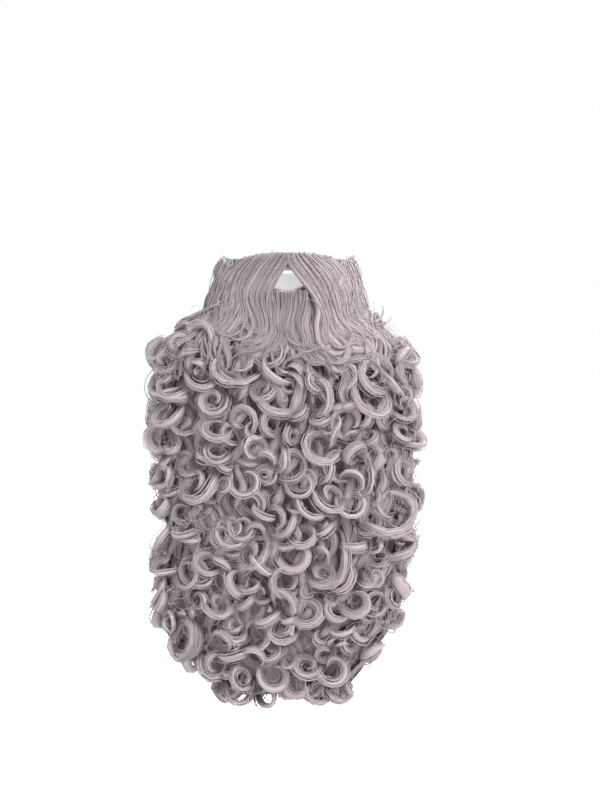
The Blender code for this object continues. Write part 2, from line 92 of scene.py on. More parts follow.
# Rows of locks and of curls: from z down to z, a drop apart, and across in metres on the front or in
# radians behind
Rows = namedtuple("Rows", "top bottom drop across")
FRONT_LOCKS = Rows(-0.002, -0.36, 0.040, 0.021)
FRONT_CURLS = Rows(-0.02, -0.45, 0.024, 0.026)
BACK_LOCKS = Rows(-0.014, -0.37, 0.044, 0.285)
BACK_CURLS = Rows(-0.036, -0.43, 0.036, 0.44)
BOTTOM_CURLS = -0.443
CHEEK_DROPS = (0.000, 0.022, 0.046, 0.070)
EAR_LOCK_TURNS = (72, 77, 82, 87, 92, 96)
CURL_GROWTH = 1.05

# The three pieces of curls on the front, each from one height down to another, with their single
# loose hairs, whose radius is in mm
FRONT_BANDS = [(-0.01, -0.15), (-0.15, -0.30), (-0.30, -0.43)]
FLYAWAYS = 150
FLYAWAY_RADIUS = 0.28

# The stage: the floor's height and glow, the light from all round and the camera
FLOOR = -0.62
FLOOR_GLOW = 0.70
ROOM_LIGHT = 0.88
LENS = 150
CAMERA_PLACE = (0.0156, -4.0, -0.098)

TIMES = {"operation": "MULTIPLY"}
BY_LENGTH = {"mode": "LENGTH"}

# The form under the cloth by height, in shares of LIP_TOP, EAR_HALF_WIDTH and FACE_DEPTH
FaceRow = namedtuple("FaceRow", "height width setback")
FACE_ROWS = [
    FaceRow(-0.205, 0.41, 0.16),
    FaceRow(-0.10, 0.55, 0.05),
    FaceRow(0.00, 0.64, 0.00),
    FaceRow(0.22, 0.77, 0.00),
    FaceRow(0.50, 0.88, -0.01),
    FaceRow(0.80, 0.96, -0.02),
    FaceRow(1.00, 1.00, -0.02),
    FaceRow(1.20, 1.02, 0.00),
]

# The cloth's edges by turn, in shares of EAR_TURN, LIP_TOP and CHIN_CUP
EdgeRow = namedtuple("EdgeRow", "turn top bottom")
BACKING_EDGES = [
    EdgeRow(0.00, 1.00, -1.00),
    EdgeRow(0.25, 0.98, -0.92),
    EdgeRow(0.50, 0.92, -0.30),
    EdgeRow(0.75, 0.94, 1.40),
    EdgeRow(1.00, 1.00, 3.10),
]

# Level sections of the hair mass, in metres
Section = namedtuple("Section", "z left right front back")
SECTIONS = [
    Section(0.0810, 0.0782, 0.0782, 0.0532, 0.0998),
    Section(0.0567, 0.0831, 0.0831, 0.0114, 0.1036),
    Section(0.0284, 0.0880, 0.0864, -0.0124, 0.0969),
    Section(0.0000, 0.0978, 0.0945, -0.0399, 0.0779),
    Section(-0.0227, 0.1320, 0.1190, -0.0516, 0.0540),
    Section(-0.0355, 0.1500, 0.1386, -0.0552, 0.0450),
    Section(-0.0686, 0.1467, 0.1418, -0.0582, 0.0360),
    Section(-0.0993, 0.1500, 0.1434, -0.0600, 0.0315),
    Section(-0.1703, 0.1500, 0.1467, -0.0600, 0.0270),
    Section(-0.2129, 0.1467, 0.1467, -0.0594, 0.0261),
    Section(-0.2554, 0.1369, 0.1386, -0.0582, 0.0252),
    Section(-0.2980, 0.1451, 0.1304, -0.0558, 0.0243),
    Section(-0.3358, 0.1500, 0.1288, -0.0528, 0.0225),
    Section(-0.3760, 0.1402, 0.1157, -0.0480, 0.0207),
    Section(-0.4068, 0.1108, 0.0945, -0.0420, 0.0180),
    Section(-0.4375, 0.0848, 0.0701, -0.0330, 0.0144),
    Section(-0.4564, 0.0587, 0.0554, -0.0216, 0.0099),
]
FACE_ARRAY = np.array(FACE_ROWS)
EDGE_ARRAY = np.array(BACKING_EDGES)
SECTION_ARRAY = np.array(SECTIONS)[::-1]

# Curls that the photograph shows, in shares of BEARD_HALF_WIDTH and FALL_LENGTH; radius in mm,
# sense 1 winds counter-clockwise, tilt turns the ring away from facing straight out, in degrees
Curl = namedtuple("Curl", "across down radius sense tilt lean")
CURLS = [
    Curl(-0.35, 0.115, 22, -1, 30, -30),
    Curl(-0.43, 0.127, 17, -1, 40, 10),
    Curl(-0.61, 0.050, 18, -1, 30, -60),
    Curl(-0.60, 0.150, 16, 1, 55, 0),
    Curl(-0.85, 0.105, 13, 1, 35, 20),
    Curl(-0.18, 0.183, 13, -1, 40, 20),
    Curl(-0.08, 0.210, 17, -1, 60, -40),
    Curl(0.23, 0.195, 19, 1, 60, 40),
    Curl(0.62, 0.145, 21, -1, 45, -20),
    Curl(0.62, 0.200, 23, 1, 40, -50),
    Curl(-0.32, 0.256, 17, 1, 25, 30),
    Curl(-0.11, 0.262, 14, -1, 45, 0),
    Curl(-0.51, 0.277, 16, -1, 45, 30),
    Curl(0.24, 0.321, 22, -1, 35, 10),
    Curl(0.50, 0.340, 17, -1, 55, 0),
    Curl(0.48, 0.413, 19, -1, 35, 10),
    Curl(0.32, 0.450, 18, 1, 50, 0),
    Curl(-0.24, 0.460, 15, 1, 25, 10),
    Curl(-0.51, 0.336, 14, -1, 40, 0),
    Curl(-0.12, 0.357, 17, -1, 50, 20),
    Curl(-0.65, 0.419, 20, -1, 40, 0),
    Curl(0.75, 0.482, 27, 1, 40, 30),
    Curl(-0.07, 0.507, 18, -1, 40, 0),
    Curl(0.12, 0.543, 14, 1, 40, 0),
    Curl(-0.27, 0.590, 16, -1, 35, 0),
    Curl(0.27, 0.617, 25, -1, 50, 20),
    Curl(-0.01, 0.660, 18, -1, 25, 0),
    Curl(-0.57, 0.611, 15, -1, 45, 0),
    Curl(0.26, 0.640, 14, 1, 30, 0),
    Curl(-0.48, 0.717, 15, 1, 45, 0),
    Curl(0.15, 0.733, 17, 1, 35, 0),
    Curl(0.35, 0.733, 14, -1, 45, 0),
    Curl(-0.04, 0.779, 16, -1, 30, 0),
    Curl(-0.73, 0.800, 23, 1, 45, 10),
    Curl(-0.48, 0.806, 16, 1, 40, 0),
    Curl(-0.22, 0.852, 17, -1, 45, 0),
    Curl(-0.51, 0.872, 16, 1, 40, 0),
    Curl(-0.32, 0.903, 14, -1, 45, 0),
    Curl(0.33, 0.883, 18, 1, 25, 0),
    Curl(0.14, 0.872, 14, -1, 40, 0),
    Curl(0.06, 0.925, 13, -1, 25, 0),
    Curl(0.75, 0.702, 12, -1, 20, 0),
    Curl(0.36, 0.940, 13, 1, 25, 0),
]

# Guide lines of the combed hair from root to tip, each a row of x, z pairs in mm
LEFT_GUIDES = [
    [(5, 79), (4, 70), (-5, 57), (-16, 40), (-20, 22), (-16, 4), (-16, -16), (-25, -32), (-36, -42)],
    [(-13, 79), (-27, 62), (-40, 42), (-47, 24), (-36, 4), (-30, -14), (-42, -32), (-52, -40)],
    [(-30, 77), (-49, 61), (-59, 38), (-57, 16), (-61, -2), (-78, -20), (-90, -36)],
    [(-52, 74), (-70, 60), (-84, 36), (-91, 14), (-88, -2), (-98, -14), (-110, -28)],
]
RIGHT_GUIDES = [
    [(-3, 79), (-4, 70), (3, 59), (17, 42), (33, 22), (43, 0), (44, -18), (41, -34), (47, -49), (65, -61),
     (92, -52), (112, -54), (122, -72)],
    [(16, 79), (31, 62), (45, 40), (53, 14), (59, -6), (74, -18), (95, -26), (112, -24)],
    [(34, 77), (55, 60), (67, 38), (74, 14), (72, 0), (90, -10), (104, -18), (118, -30)],
    [(54, 74), (72, 57), (83, 32), (86, 8), (92, -6), (108, -14)],
]
TUFT_GUIDES = [
    [(-23, 32), (-22, 12), (-17, -6), (-22, -22), (-30, -38)],
    [(-7, 32), (-5, 10), (-10, -2), (-5, -18), (-13, -36)],
    [(6, 32), (6, 10), (1, -14), (8, -30), (14, -46), (20, -54)],
    [(26, 33), (26, 14), (18, -6), (25, -26), (22, -44)],
]
CHIN_GUIDES = [
    [(-52, 22), (-56, 4), (-50, -14), (-58, -32), (-52, -46)],
    [(-30, 25), (-34, 8), (-28, -8), (-34, -26), (-28, -44)],
    [(-10, 26), (-8, 8), (-13, -10), (-6, -28), (-12, -46)],
    [(10, 26), (13, 8), (8, -10), (16, -28), (10, -46)],
    [(30, 25), (33, 8), (28, -8), (36, -26), (30, -44)],
    [(52, 22), (54, 4), (50, -14), (58, -32), (52, -46)],
]
WAVES = [
    [(30, -48), (23, -62), (38, -82), (54, -102), (32, -120)],
    [(-30, -60), (-13, -80), (-4, -98), (-4, -118)],
    [(12, -62), (17, -82), (12, -102), (0, -122)],
    [(-60, -28), (-48, -46), (-61, -64), (-46, -84), (-58, -100)],
    [(62, -58), (75, -74), (62, -92), (79, -112)],
]

# Colours in linear light
LIGHT_HAIR = (0.535, 0.464, 0.492, 1)
MID_HAIR = (0.41, 0.343, 0.368, 1)
WARM_HAIR = (0.385, 0.337, 0.326, 1)
# Painted shade: the under-hair's darker colour, for the shade between the locks
SHADED_UNDER_HAIR = (0.24, 0.198, 0.213, 1)
# Painted shade: the colour that hair is darkened towards where it lies deep in the mass
PAINTED_SHADE_HAIR = (0.18, 0.148, 0.159, 1)

# Each weave's threads and the painted shade in the gaps between them
BACKING_GREYS = ((0.40, 0.375, 0.39, 1), (0.16, 0.15, 0.155, 1))
TAPE_GREYS = ((0.46, 0.44, 0.45, 1), (0.22, 0.21, 0.21, 1))
ELASTIC_GREYS = ((0.66, 0.65, 0.66, 1), (0.36, 0.35, 0.36, 1))
THREAD_GREYS = ((0.42, 0.40, 0.41, 1), (0.72, 0.70, 0.71, 1))

# Painted light in each piece's tone: the right moustache is lighter and the left darker, as if lit from the
# right, and the lip tuft darker as if in the moustache's shade
Comb = namedtuple("Comb", "piece guides node locks tone")
COMBS = [
    Comb("moustache_hair_left", LEFT_GUIDES, "moustache_left", 9, 0.5),
    Comb("moustache_hair_right", RIGHT_GUIDES, "moustache_right", 9, 1.7),
    Comb("lip_tuft_hair", TUFT_GUIDES, "lip_tuft", 8, 0.38),
]

Lamp = namedtuple("Lamp", "name place size power")
LAMPS = [
    Lamp("key", (1.4, -1.9, 1.3), 0.9, 63),
    Lamp("fill", (-1.6, -2.0, 0.3), 1.6, 12),
    Lamp("rim", (0.7, 2.4, 1.5), 1.6, 55),
]
LIT_POINT = Vector((0, 0, -0.15))


def smooth(x, low=0.0, high=1.0):
    t = np.clip((np.asarray(x, float) - low) / (high - low), 0, 1)
    return t * t * (3 - 2 * t)


def unit(v):
    v = np.asarray(v, float)
    return v / np.maximum(np.linalg.norm(v, axis=-1, keepdims=True), 1e-9)


def face_size(z, outwards):
    """Half the width and the depth of the form under the cloth at z, outwards metres off it."""
    share = z / LIP_TOP
    half_width = np.interp(share, FACE_ARRAY[:, 0], FACE_ARRAY[:, 1]) * EAR_HALF_WIDTH + outwards
    depth = FACE_DEPTH * (1 - np.interp(share, FACE_ARRAY[:, 0], FACE_ARRAY[:, 2])) + outwards
    return half_width, depth


def face_place(turn, height, outwards):
    """A point on the form under the cloth and band, turned from straight ahead towards +X, moved out
    level."""
    half_width, front = face_size(height, outwards)
    depth = front if abs(turn) < math.pi / 2 else HEAD_BACK + outwards
    return half_width * math.sin(turn), FACE_DEPTH - depth * math.cos(turn), height


def face_front(x, z):
    """y of the cloth's outer face in front at x and z."""
    half_width, front = face_size(z, CLOTH)
    return FACE_DEPTH - front * np.sqrt(np.clip(1 - (x / half_width) ** 2, 0.02, 1))


def cloth_edges(turn):
    """Heights of the cloth's lower and upper edges at a turn."""
    share = turn / EAR_TURN
    low = np.interp(share, EDGE_ARRAY[:, 0], EDGE_ARRAY[:, 2]) * CHIN_CUP
    return low, np.interp(share, EDGE_ARRAY[:, 0], EDGE_ARRAY[:, 1]) * LIP_TOP


def level_outwards(turns):
    """Level directions away from the middle, at those turns."""
    return np.stack([np.sin(turns), -np.cos(turns), 0 * turns], -1)


def section_at(z):
    """left, right, front and back of the mass at those heights."""
    return [np.interp(z, SECTION_ARRAY[:, 0], SECTION_ARRAY[:, i]) for i in range(1, 5)]


def surface(z, turn):
    """Points on the mass and their level outward normals, turned from straight ahead to +X."""
    left, right, front, back = section_at(z)
    sine, cosine = np.sin(turn), np.cos(turn)
    half = np.where(sine > 0, right, left)
    middle, depth = (front + back) / 2, (back - front) / 2
    power = 2 / SECTION_POWER
    x = half * np.sign(sine) * np.abs(sine) ** power
    across = -np.sign(cosine) * np.abs(cosine) ** power
    y = middle + depth * across
    slope_x = np.sign(x) * np.abs(x / half) ** (SECTION_POWER - 1) / half
    slope_y = np.sign(across) * np.abs(across) ** (SECTION_POWER - 1) / depth
    normal = unit(np.stack([slope_x, slope_y, 0 * slope_x], -1))
    return np.stack([x, y, z + 0 * x], -1), normal


def turn_at(z, x):
    """The turn at which the mass has that x at height z."""
    left, right, _, _ = section_at(z)
    share = np.clip(np.abs(x) / np.where(x > 0, right, left), 0, 0.985)
    return np.sign(x) * np.arcsin(share ** (SECTION_POWER / 2))


def lift_of(points):
    """How far points stand out of the mass, in metres; about that near its surface."""
    x, y, z = points[..., 0], points[..., 1], points[..., 2]
    left, right, front, back = section_at(z)
    half = np.where(x > 0, right, left)
    middle, depth = (front + back) / 2, (back - front) / 2
    u, v = np.abs(x) / half, np.abs(y - middle) / depth
    p = SECTION_POWER
    level = np.maximum((u**p + v**p) ** (1 / p), 1e-4)
    slope_x = (u / level) ** (p - 1) / half
    slope_y = (v / level) ** (p - 1) / depth
    return (level - 1) / np.sqrt(slope_x**2 + slope_y**2)


def front_y(x, z):
    """y of what lies in front at x and z: the hair mass or the cloth."""
    hair = surface(z, turn_at(z, x))[0][..., 1]
    return np.minimum(hair, face_front(x, z))


def frame_at(z, turn):
    """A place on the mass with its outward, sideways and upward directions."""
    place, normal = surface(np.array(float(z)), np.array(float(turn)))
    sideways = np.cross(normal, (0, 0, -1))
    return place, normal, sideways, np.cross(normal, sideways)


def placed(name, data):
    """A new object in the scene, made of that data."""
    obj = bpy.data.objects.new(name, data)
    bpy.context.scene.collection.objects.link(obj)
    return obj


def mesh_from_arrays(name, points, quads, tris, uv, shade):
    """A mesh of numpy arrays, with a UV map named strand and a float attribute named shade."""
    mesh = bpy.data.meshes.new(name)
    corners = np.concatenate([quads.reshape(-1), tris.reshape(-1)]).astype(np.int32)
    sizes = np.concatenate([np.full(len(quads), 4), np.full(len(tris), 3)])
    starts = np.concatenate([[0], np.cumsum(sizes)[:-1]]).astype(np.int32)
    mesh.vertices.add(len(points))
    mesh.vertices.foreach_set("co", points.astype(np.float32).reshape(-1))
    mesh.loops.add(len(corners))
    mesh.loops.foreach_set("vertex_index", corners)
    mesh.polygons.add(len(sizes))
    mesh.polygons.foreach_set("loop_start", starts)
    mesh.polygons.foreach_set("use_smooth", np.ones(len(sizes), bool))
    mesh.update(calc_edges=True)
    layer = mesh.uv_layers.new(name="strand")
    layer.data.foreach_set("uv", uv[corners].astype(np.float32).reshape(-1))
    attribute = mesh.attributes.new("shade", "FLOAT", "POINT")
    attribute.data.foreach_set("value", shade.astype(np.float32))
    mesh.validate()
    return placed(name, mesh)


class Hair:
    """Collects tubes of hair with painted shade, darker the deeper they lie in the mass, and counts them as
    offset metres further out when it shades them.
    """

    def __init__(self, offset=0.0):
        self.offset = offset
        self.points, self.quads, self.tris, self.uv, self.shade = [], [], [], [], []
        self.count = 0

    def add(self, lines, side, face, sides, seed_u, spread_u, tone):
        """Closed tubes along lines, an array of strands, steps and x, y, z. side and face are half
        the width and thickness there, as vectors of the same shape."""
        strands, steps = lines.shape[:2]
        angles = 2 * math.pi * (np.arange(sides) + 0.5) / sides
        ring = (
            lines[:, :, None]
            + side[:, :, None] * np.cos(angles)[None, None, :, None]
            + face[:, :, None] * np.sin(angles)[None, None, :, None]
        )
        self.add_faces(strands, steps, sides)
        gaps = np.linalg.norm(np.diff(lines, axis=1, prepend=lines[:, :1]), axis=-1)
        u = seed_u[:, None, None] + spread_u * np.cos(angles)[None, None, :]
        v = np.cumsum(gaps, axis=1)[:, :, None] / 0.04
        uv = np.stack(np.broadcast_arrays(u, v), -1)
        self.points.append(ring.reshape(-1, 3))
        self.uv.append(uv.reshape(-1, 2))
        # Painted shade: the deeper a point lies in the mass, the lower its shade, times each strand's tone,
        # so the material darkens it
        lift = smooth(lift_of(ring) + self.offset, -0.012, 0.016)
        self.shade.append((lift * (0.35 + 0.65 * tone[:, None, None])).reshape(-1))
        self.count += strands * steps * sides

    def add_faces(self, strands, steps, sides):
        """The tubes' walls and flat ends."""
        base = self.count + (np.arange(strands) * steps * sides)[:, None, None]
        row = (np.arange(steps - 1) * sides)[None, :, None]
        i = np.arange(sides)[None, None, :]
        j = (i + 1) % sides
        near, far = base + row, base + row + sides
        self.quads.append(np.stack([near + i, near + j, far + j, far + i], -1).reshape(-1, 4))
        start = base[:, 0, 0]
        end = start + (steps - 1) * sides
        for k in range(1, sides - 1):
            self.tris.append(np.stack([start, start + k + 1, start + k], -1))
            self.tris.append(np.stack([end, end + k, end + k + 1], -1))

    def build(self, name):
        """The collected hair as one mesh object."""
        parts = (self.points, self.quads, self.tris, self.uv, self.shade)
        return mesh_from_arrays(name, *[np.concatenate(part) for part in parts])


def across_of(lines, hint):
    """Unit vectors across lines, nearest to hint."""
    ahead = unit(np.gradient(lines, axis=-2))
    return unit(hint - (hint * ahead).sum(-1, keepdims=True) * ahead), ahead


def loose_strands(path, wide, out, spread, envelope, strands, thickness, make):
    """Lines of strands in two layers over a lock's path, each swaying by itself."""
    steps = len(path)
    s = np.linspace(0, 1, steps)
    place = np.linspace(-1, 1, strands) + RNG.normal(0, 0.7 / strands, strands)
    layer = np.where(RNG.random(strands) < 0.4, -1, 1)
    depth = RNG.normal(0, 0.45, strands) * thickness + thickness * 0.35 * layer
    arch = make.bulge * layer * np.sqrt(np.clip(1 - place**2, 0, 1))
    stray = np.where(RNG.random(strands) < 0.16, 2.4, 0.8) * make.loose
    phase = RNG.uniform(0, 2 * math.pi, (4, strands, 1))
    pace = RNG.uniform(0.6, 1.7, (2, strands, 1))
    along = s[None, :]
    sway = stray[:, None] * MM * (np.sin(2 * math.pi * pace[0] * along + phase[0]) * 0.8)
    heave = stray[:, None] * MM * (np.sin(2 * math.pi * pace[1] * along + phase[1]) * 0.8)
    fan = 1 + 0.22 * np.sin(2 * math.pi * along * 0.8 + phase[2]) * make.loose
    across = place[:, None] * spread[None] * fan + sway
    rise = depth[:, None] * (0.5 + 0.8 * envelope[None]) + arch[:, None] * spread[None] + heave
    lines = path[None] + wide[None] * across[..., None] + out[None] * rise[..., None]
    reach = RNG.uniform(0.86, 1.0, strands)
    sample = reach[:, None] * s[None, :] * (steps - 1)
    low = np.clip(np.floor(sample).astype(int), 0, steps - 2)
    part = (sample - low)[..., None]
    rows = np.arange(strands)[:, None]
    return lines[rows, low] * (1 - part) + lines[rows, low + 1] * part


def add_lock(hair, path, wide, half_width, strands, thickness=2.2 * MM, tone=1.0, make=CURLED):
    """A lock along path: a flat closed body with loose strands over it, spread along wide."""
    s = np.linspace(0, 1, len(path))
    wide, ahead = across_of(path, wide)
    out = np.cross(ahead, wide)
    envelope = (0.45 + 0.55 * smooth(s, 0, 0.3)) * (1 - 0.62 * smooth(s, 0.65, 1.0))
    spread = np.broadcast_to(half_width, s.shape) * envelope
    ends = 0.15 + 0.85 * smooth(s, 0, 0.08) * (1 - smooth(s, 0.88, 1.0))
    deep = 0.4 * thickness * envelope + 0.8 * make.bulge * spread
    side, face = wide * (spread * 0.84 * ends)[:, None], out * (deep * ends)[:, None]
    # Painted shade: the body under the strands is darker than them, at 0.75 of the lock's tone, for the shade
    # between the strands
    hair.add(path[None], side[None], face[None], 6, RNG.uniform(0, 9, 1), 0.5, np.array([0.75 * tone]))
    lines = loose_strands(path, wide, out, spread, envelope, strands, thickness, make)
    side, ahead = across_of(lines, np.broadcast_to(wide[None], lines.shape))
    face = np.cross(ahead, side)
    size = make.radius * RNG.uniform(0.62, 1.15, strands)[:, None] * (1 - 0.55 * smooth(s, 0.7, 1.0))[None]
    side, face = side * size[..., None], face * size[..., None]
    hair.add(lines, side, face, 3, RNG.uniform(0, 9, strands), 0, RNG.uniform(0.4, 1.0, strands) * tone)


def any_facing():
    """Most rings stand proud at the bottom, some at a side and a few at the top."""
    return 90 + RNG.normal(0, 45) if RNG.random() < 0.55 else RNG.uniform(-180, 180)


def curl_path(z, turn, radius, sense, tilt, facing, lean, ring, steps, height, fan):
    """A lock that comes out of the mass from above and winds round an axis tilted away from the
    outward direction towards facing, which is 90 for straight up. It turns by ring round that axis,
    and its strands fan out from it by fan, in radians. The other angles are in degrees."""
    place, normal, sideways, upwards = frame_at(z, turn)
    facing = math.radians(facing)
    away = sideways * math.cos(facing) + upwards * math.sin(facing)
    axis = unit(normal * math.cos(math.radians(tilt)) + away * math.sin(math.radians(tilt)))
    first = unit(sideways - (sideways @ axis) * axis)
    second = np.cross(axis, first)
    s = np.linspace(0, 1, steps)
    stem = 0.27
    begin = (math.pi if sense > 0 else 0) + math.radians(lean)
    angle = begin + sense * np.where(
        s < stem, -math.radians(75) * (1 - s / stem), math.radians(ring) * (s - stem) / (1 - stem)
    )
    opening = 1.0 * np.clip(1 - s / stem, 0, 1) ** 1.4
    size = radius * (1 + opening - (1 - CURL_END) * np.clip((s - stem) / (1 - stem), 0, 1) ** 1.2)
    path = (
        place
        + axis * (CURL_PITCH * radius * (s - 0.75))[:, None]
        + normal * (height + 0.35 * radius * math.sin(math.radians(tilt)))
        + size[:, None] * (first * np.cos(angle)[:, None] + second * np.sin(angle)[:, None])
    )
    sink = (1 - smooth(s, 0, 0.36)) * 22 * MM
    sink = sink + 0.80 * np.maximum(lift_of(path) - 13 * MM, 0)
    radial = first * np.cos(angle)[:, None] + second * np.sin(angle)[:, None]
    return path - normal * sink[:, None], axis * math.cos(fan) + radial * math.sin(fan)


def hanging_path(z, turn, length, sway, waves, phase, steps, height, drift=0.0):
    """A lock that hangs down over the mass in waves."""
    s = np.linspace(0, 1, steps)
    heights = z - length * s
    place, normal = surface(heights, turn + drift * s)
    sideways = np.cross(normal, np.array([0, 0, -1.0]))
    angle = phase + 2 * math.pi * waves * s
    grow = sway * smooth(s, 0, 0.5)
    stand = height + 0.5 * grow * np.sin(angle) - height * (1 - smooth(s, 0, 0.15))
    return place + normal * stand[:, None] + sideways * (grow * np.cos(angle))[:, None], sideways


def add_node(tree, kind, settings=(), out=0, **inputs):
    """An output of a new node with its settings and inputs. An input is named, or i and its number;
    an output given for it is linked."""
    node = tree.nodes.new(kind)
    for name, value in dict(settings).items():
        setattr(node, name, value)
    for name, value in inputs.items():
        socket = node.inputs[int(name[1:]) if name[1:].isdigit() else name.replace("_", " ")]
        if isinstance(value, bpy.types.NodeSocket):
            tree.links.new(value, socket)
        else:
            socket.default_value = value
    return node.outputs[out]


def mixed(tree, factor, first, second):
    """The colour between first and second."""
    return add_node(tree, "ShaderNodeMix", {"data_type": "RGBA"}, 2, i0=factor, i6=first, i7=second)


def shader_group(name, inputs, outputs):
    """An empty shader group with float inputs and their values, and float outputs."""
    tree = bpy.data.node_groups.new(name, "ShaderNodeTree")
    for word, value in inputs.items():
        tree.interface.new_socket(word, in_out="INPUT", socket_type="NodeSocketFloat").default_value = value
    for word in outputs:
        tree.interface.new_socket(word, in_out="OUTPUT", socket_type="NodeSocketFloat")
    return tree, tree.nodes.new("NodeGroupInput").outputs, tree.nodes.new("NodeGroupOutput").inputs


def build_streaks():
    """Fine streaks along hair, from the strand UV map: u across the hair and v along it."""
    tree, given, result = shader_group("hair_streaks", {"Across": 11, "Along": 0.6}, ["Streak"])
    uv = add_node(tree, "ShaderNodeUVMap", {"uv_map": "strand"})
    scale = add_node(tree, "ShaderNodeCombineXYZ", X=given["Across"], Y=given["Along"])
    place = add_node(tree, "ShaderNodeVectorMath", TIMES, i0=uv, i1=scale)
    noise = add_node(tree, "ShaderNodeTexNoise", {"noise_dimensions": "2D"}, Vector=place, Scale=1, Detail=4)
    spread = add_node(tree, "ShaderNodeMapRange", Value=noise, From_Min=0.30, From_Max=0.70)
    tree.links.new(spread, result["Streak"])
    return tree


def build_weave():
    """Threads over and under each other, from the strand UV map in metres."""
    tree, given, result = shader_group("weave", {"Threads Across": 900, "Threads Along": 900}, ["Thread"])
    uv = add_node(tree, "ShaderNodeUVMap", {"uv_map": "strand"})
    split = add_node(tree, "ShaderNodeSeparateXYZ", Vector=uv).node.outputs
    waves = []
    for axis, word in (("X", "Threads Across"), ("Y", "Threads Along")):
        turns = add_node(tree, "ShaderNodeMath", TIMES, i0=split[axis], i1=given[word])
        angle = add_node(tree, "ShaderNodeMath", TIMES, i0=turns, i1=2 * math.pi)
        waves.append(add_node(tree, "ShaderNodeMath", {"operation": "SINE"}, i0=angle))
    cross = add_node(tree, "ShaderNodeMath", TIMES, i0=waves[0], i1=waves[1])
    height = add_node(tree, "ShaderNodeMapRange", Value=cross, From_Min=-1, From_Max=1)
    tree.links.new(height, result["Thread"])
    return tree


def new_material(name, **inputs):
    """A material, its node tree and its shader with those inputs."""
    material = bpy.data.materials.new(name)
    material.use_nodes = True
    shader = material.node_tree.nodes["Principled BSDF"]
    for word, value in inputs.items():
        shader.inputs[word.replace("_", " ")].default_value = value
    return material, material.node_tree, shader


def hair_material(name, streaks, mid, warm, roughness):
    """Grey synthetic hair: streaks along each strand, painted shade that darkens it towards the mass, warmer
    at -X.
    """
    material, tree, shader = new_material(
        name, Roughness=roughness, Specular_IOR_Level=0.55, Sheen_Weight=0.12, Sheen_Roughness=0.4
    )
    streak = add_node(tree, "ShaderNodeGroup", {"node_tree": streaks})
    place = add_node(tree, "ShaderNodeTexCoord", out="Object")
    x = add_node(tree, "ShaderNodeSeparateXYZ", Vector=place)
    side = add_node(tree, "ShaderNodeMapRange", Value=x, From_Min=-0.12, From_Max=0.02)
    # Painted shade: the shade attribute mixes the colour towards a dark grey where hair lies deep in the mass
    shade = add_node(tree, "ShaderNodeAttribute", {"attribute_name": "shade"}, "Fac")
    streaked = mixed(tree, streak, mixed(tree, side, warm, mid), LIGHT_HAIR)
    tree.links.new(mixed(tree, shade, PAINTED_SHADE_HAIR, streaked), shader.inputs["Base Color"])
    bump = add_node(tree, "ShaderNodeBump", Strength=0.6, Distance=0.0006, Height=streak)
    tree.links.new(bump, shader.inputs["Normal"])
    return material


def cloth_material(name, weave, greys, across, along, roughness):
    """Woven cloth or elastic, with its threads raised and painted shade darkening the gaps between them."""
    material, tree, shader = new_material(name, Roughness=roughness, Sheen_Weight=0.25, Sheen_Roughness=0.5)
    woven = add_node(tree, "ShaderNodeGroup", {"node_tree": weave}, i0=across, i1=along)
    place = add_node(tree, "ShaderNodeTexCoord", out="Object")
    cloud = add_node(tree, "ShaderNodeTexNoise", Vector=place, Scale=60, Detail=4)
    # Painted shade: the weave's low places, between the threads, get the darker grey
    lit = add_node(tree, "ShaderNodeMath", {"operation": "MULTIPLY_ADD"}, i0=woven, i1=0.6, i2=cloud)
    even = add_node(tree, "ShaderNodeMapRange", Value=lit, From_Min=0.2, From_Max=1.2)
    thread, gap = greys
    tree.links.new(mixed(tree, even, gap, thread), shader.inputs["Base Color"])
    bump = add_node(tree, "ShaderNodeBump", Strength=0.7, Distance=0.0004, Height=woven)
    tree.links.new(bump, shader.inputs["Normal"])
    return material


def thread_material():
    """Polyester sewing thread, a little twisted."""
    material, tree, shader = new_material("sewing_thread", Roughness=0.5)
    place = add_node(tree, "ShaderNodeTexCoord", out="Object")
    twist = add_node(tree, "ShaderNodeTexNoise", Vector=place, Scale=900, Detail=2)
    tree.links.new(mixed(tree, twist, *THREAD_GREYS), shader.inputs["Base Color"])
    return material


def finish_piece(obj, slot, *nodes, material=None):
    """Gives a piece its material, unless it has one, its body and the nodes it replaces. slot is not used."""
    if material:
        obj.data.materials.clear()
        obj.data.materials.append(material)
    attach(obj, "root")
    if nodes:
        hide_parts(*nodes)


def ridged_ring(z, turns):
    """Points of the under-hair at height z, inside the mass, and where each is on its ridge."""
    points, normals = surface(np.full(len(turns), z), turns)
    girth = np.cumsum(np.linalg.norm(points - np.roll(points, 1, axis=0), axis=1))
    phase = 2 * math.pi * CORE_RIDGES * girth / girth[-1]
    phase = phase + 2.4 * np.sin(z * 95 + 3 * np.sin(turns)) + 1.1 * np.sin(z * 210 + turns * 5)
    groove = 5 * MM * (1 - np.abs(np.sin(phase / 2)) ** 0.8)
    deep = CORE_INSET + groove + 15 * MM * float(smooth(-z, 0.415, 0.452))
    reach = np.linalg.norm(points - points.mean(0), axis=1)
    return points - normals * np.minimum(deep, 0.6 * reach)[:, None], phase


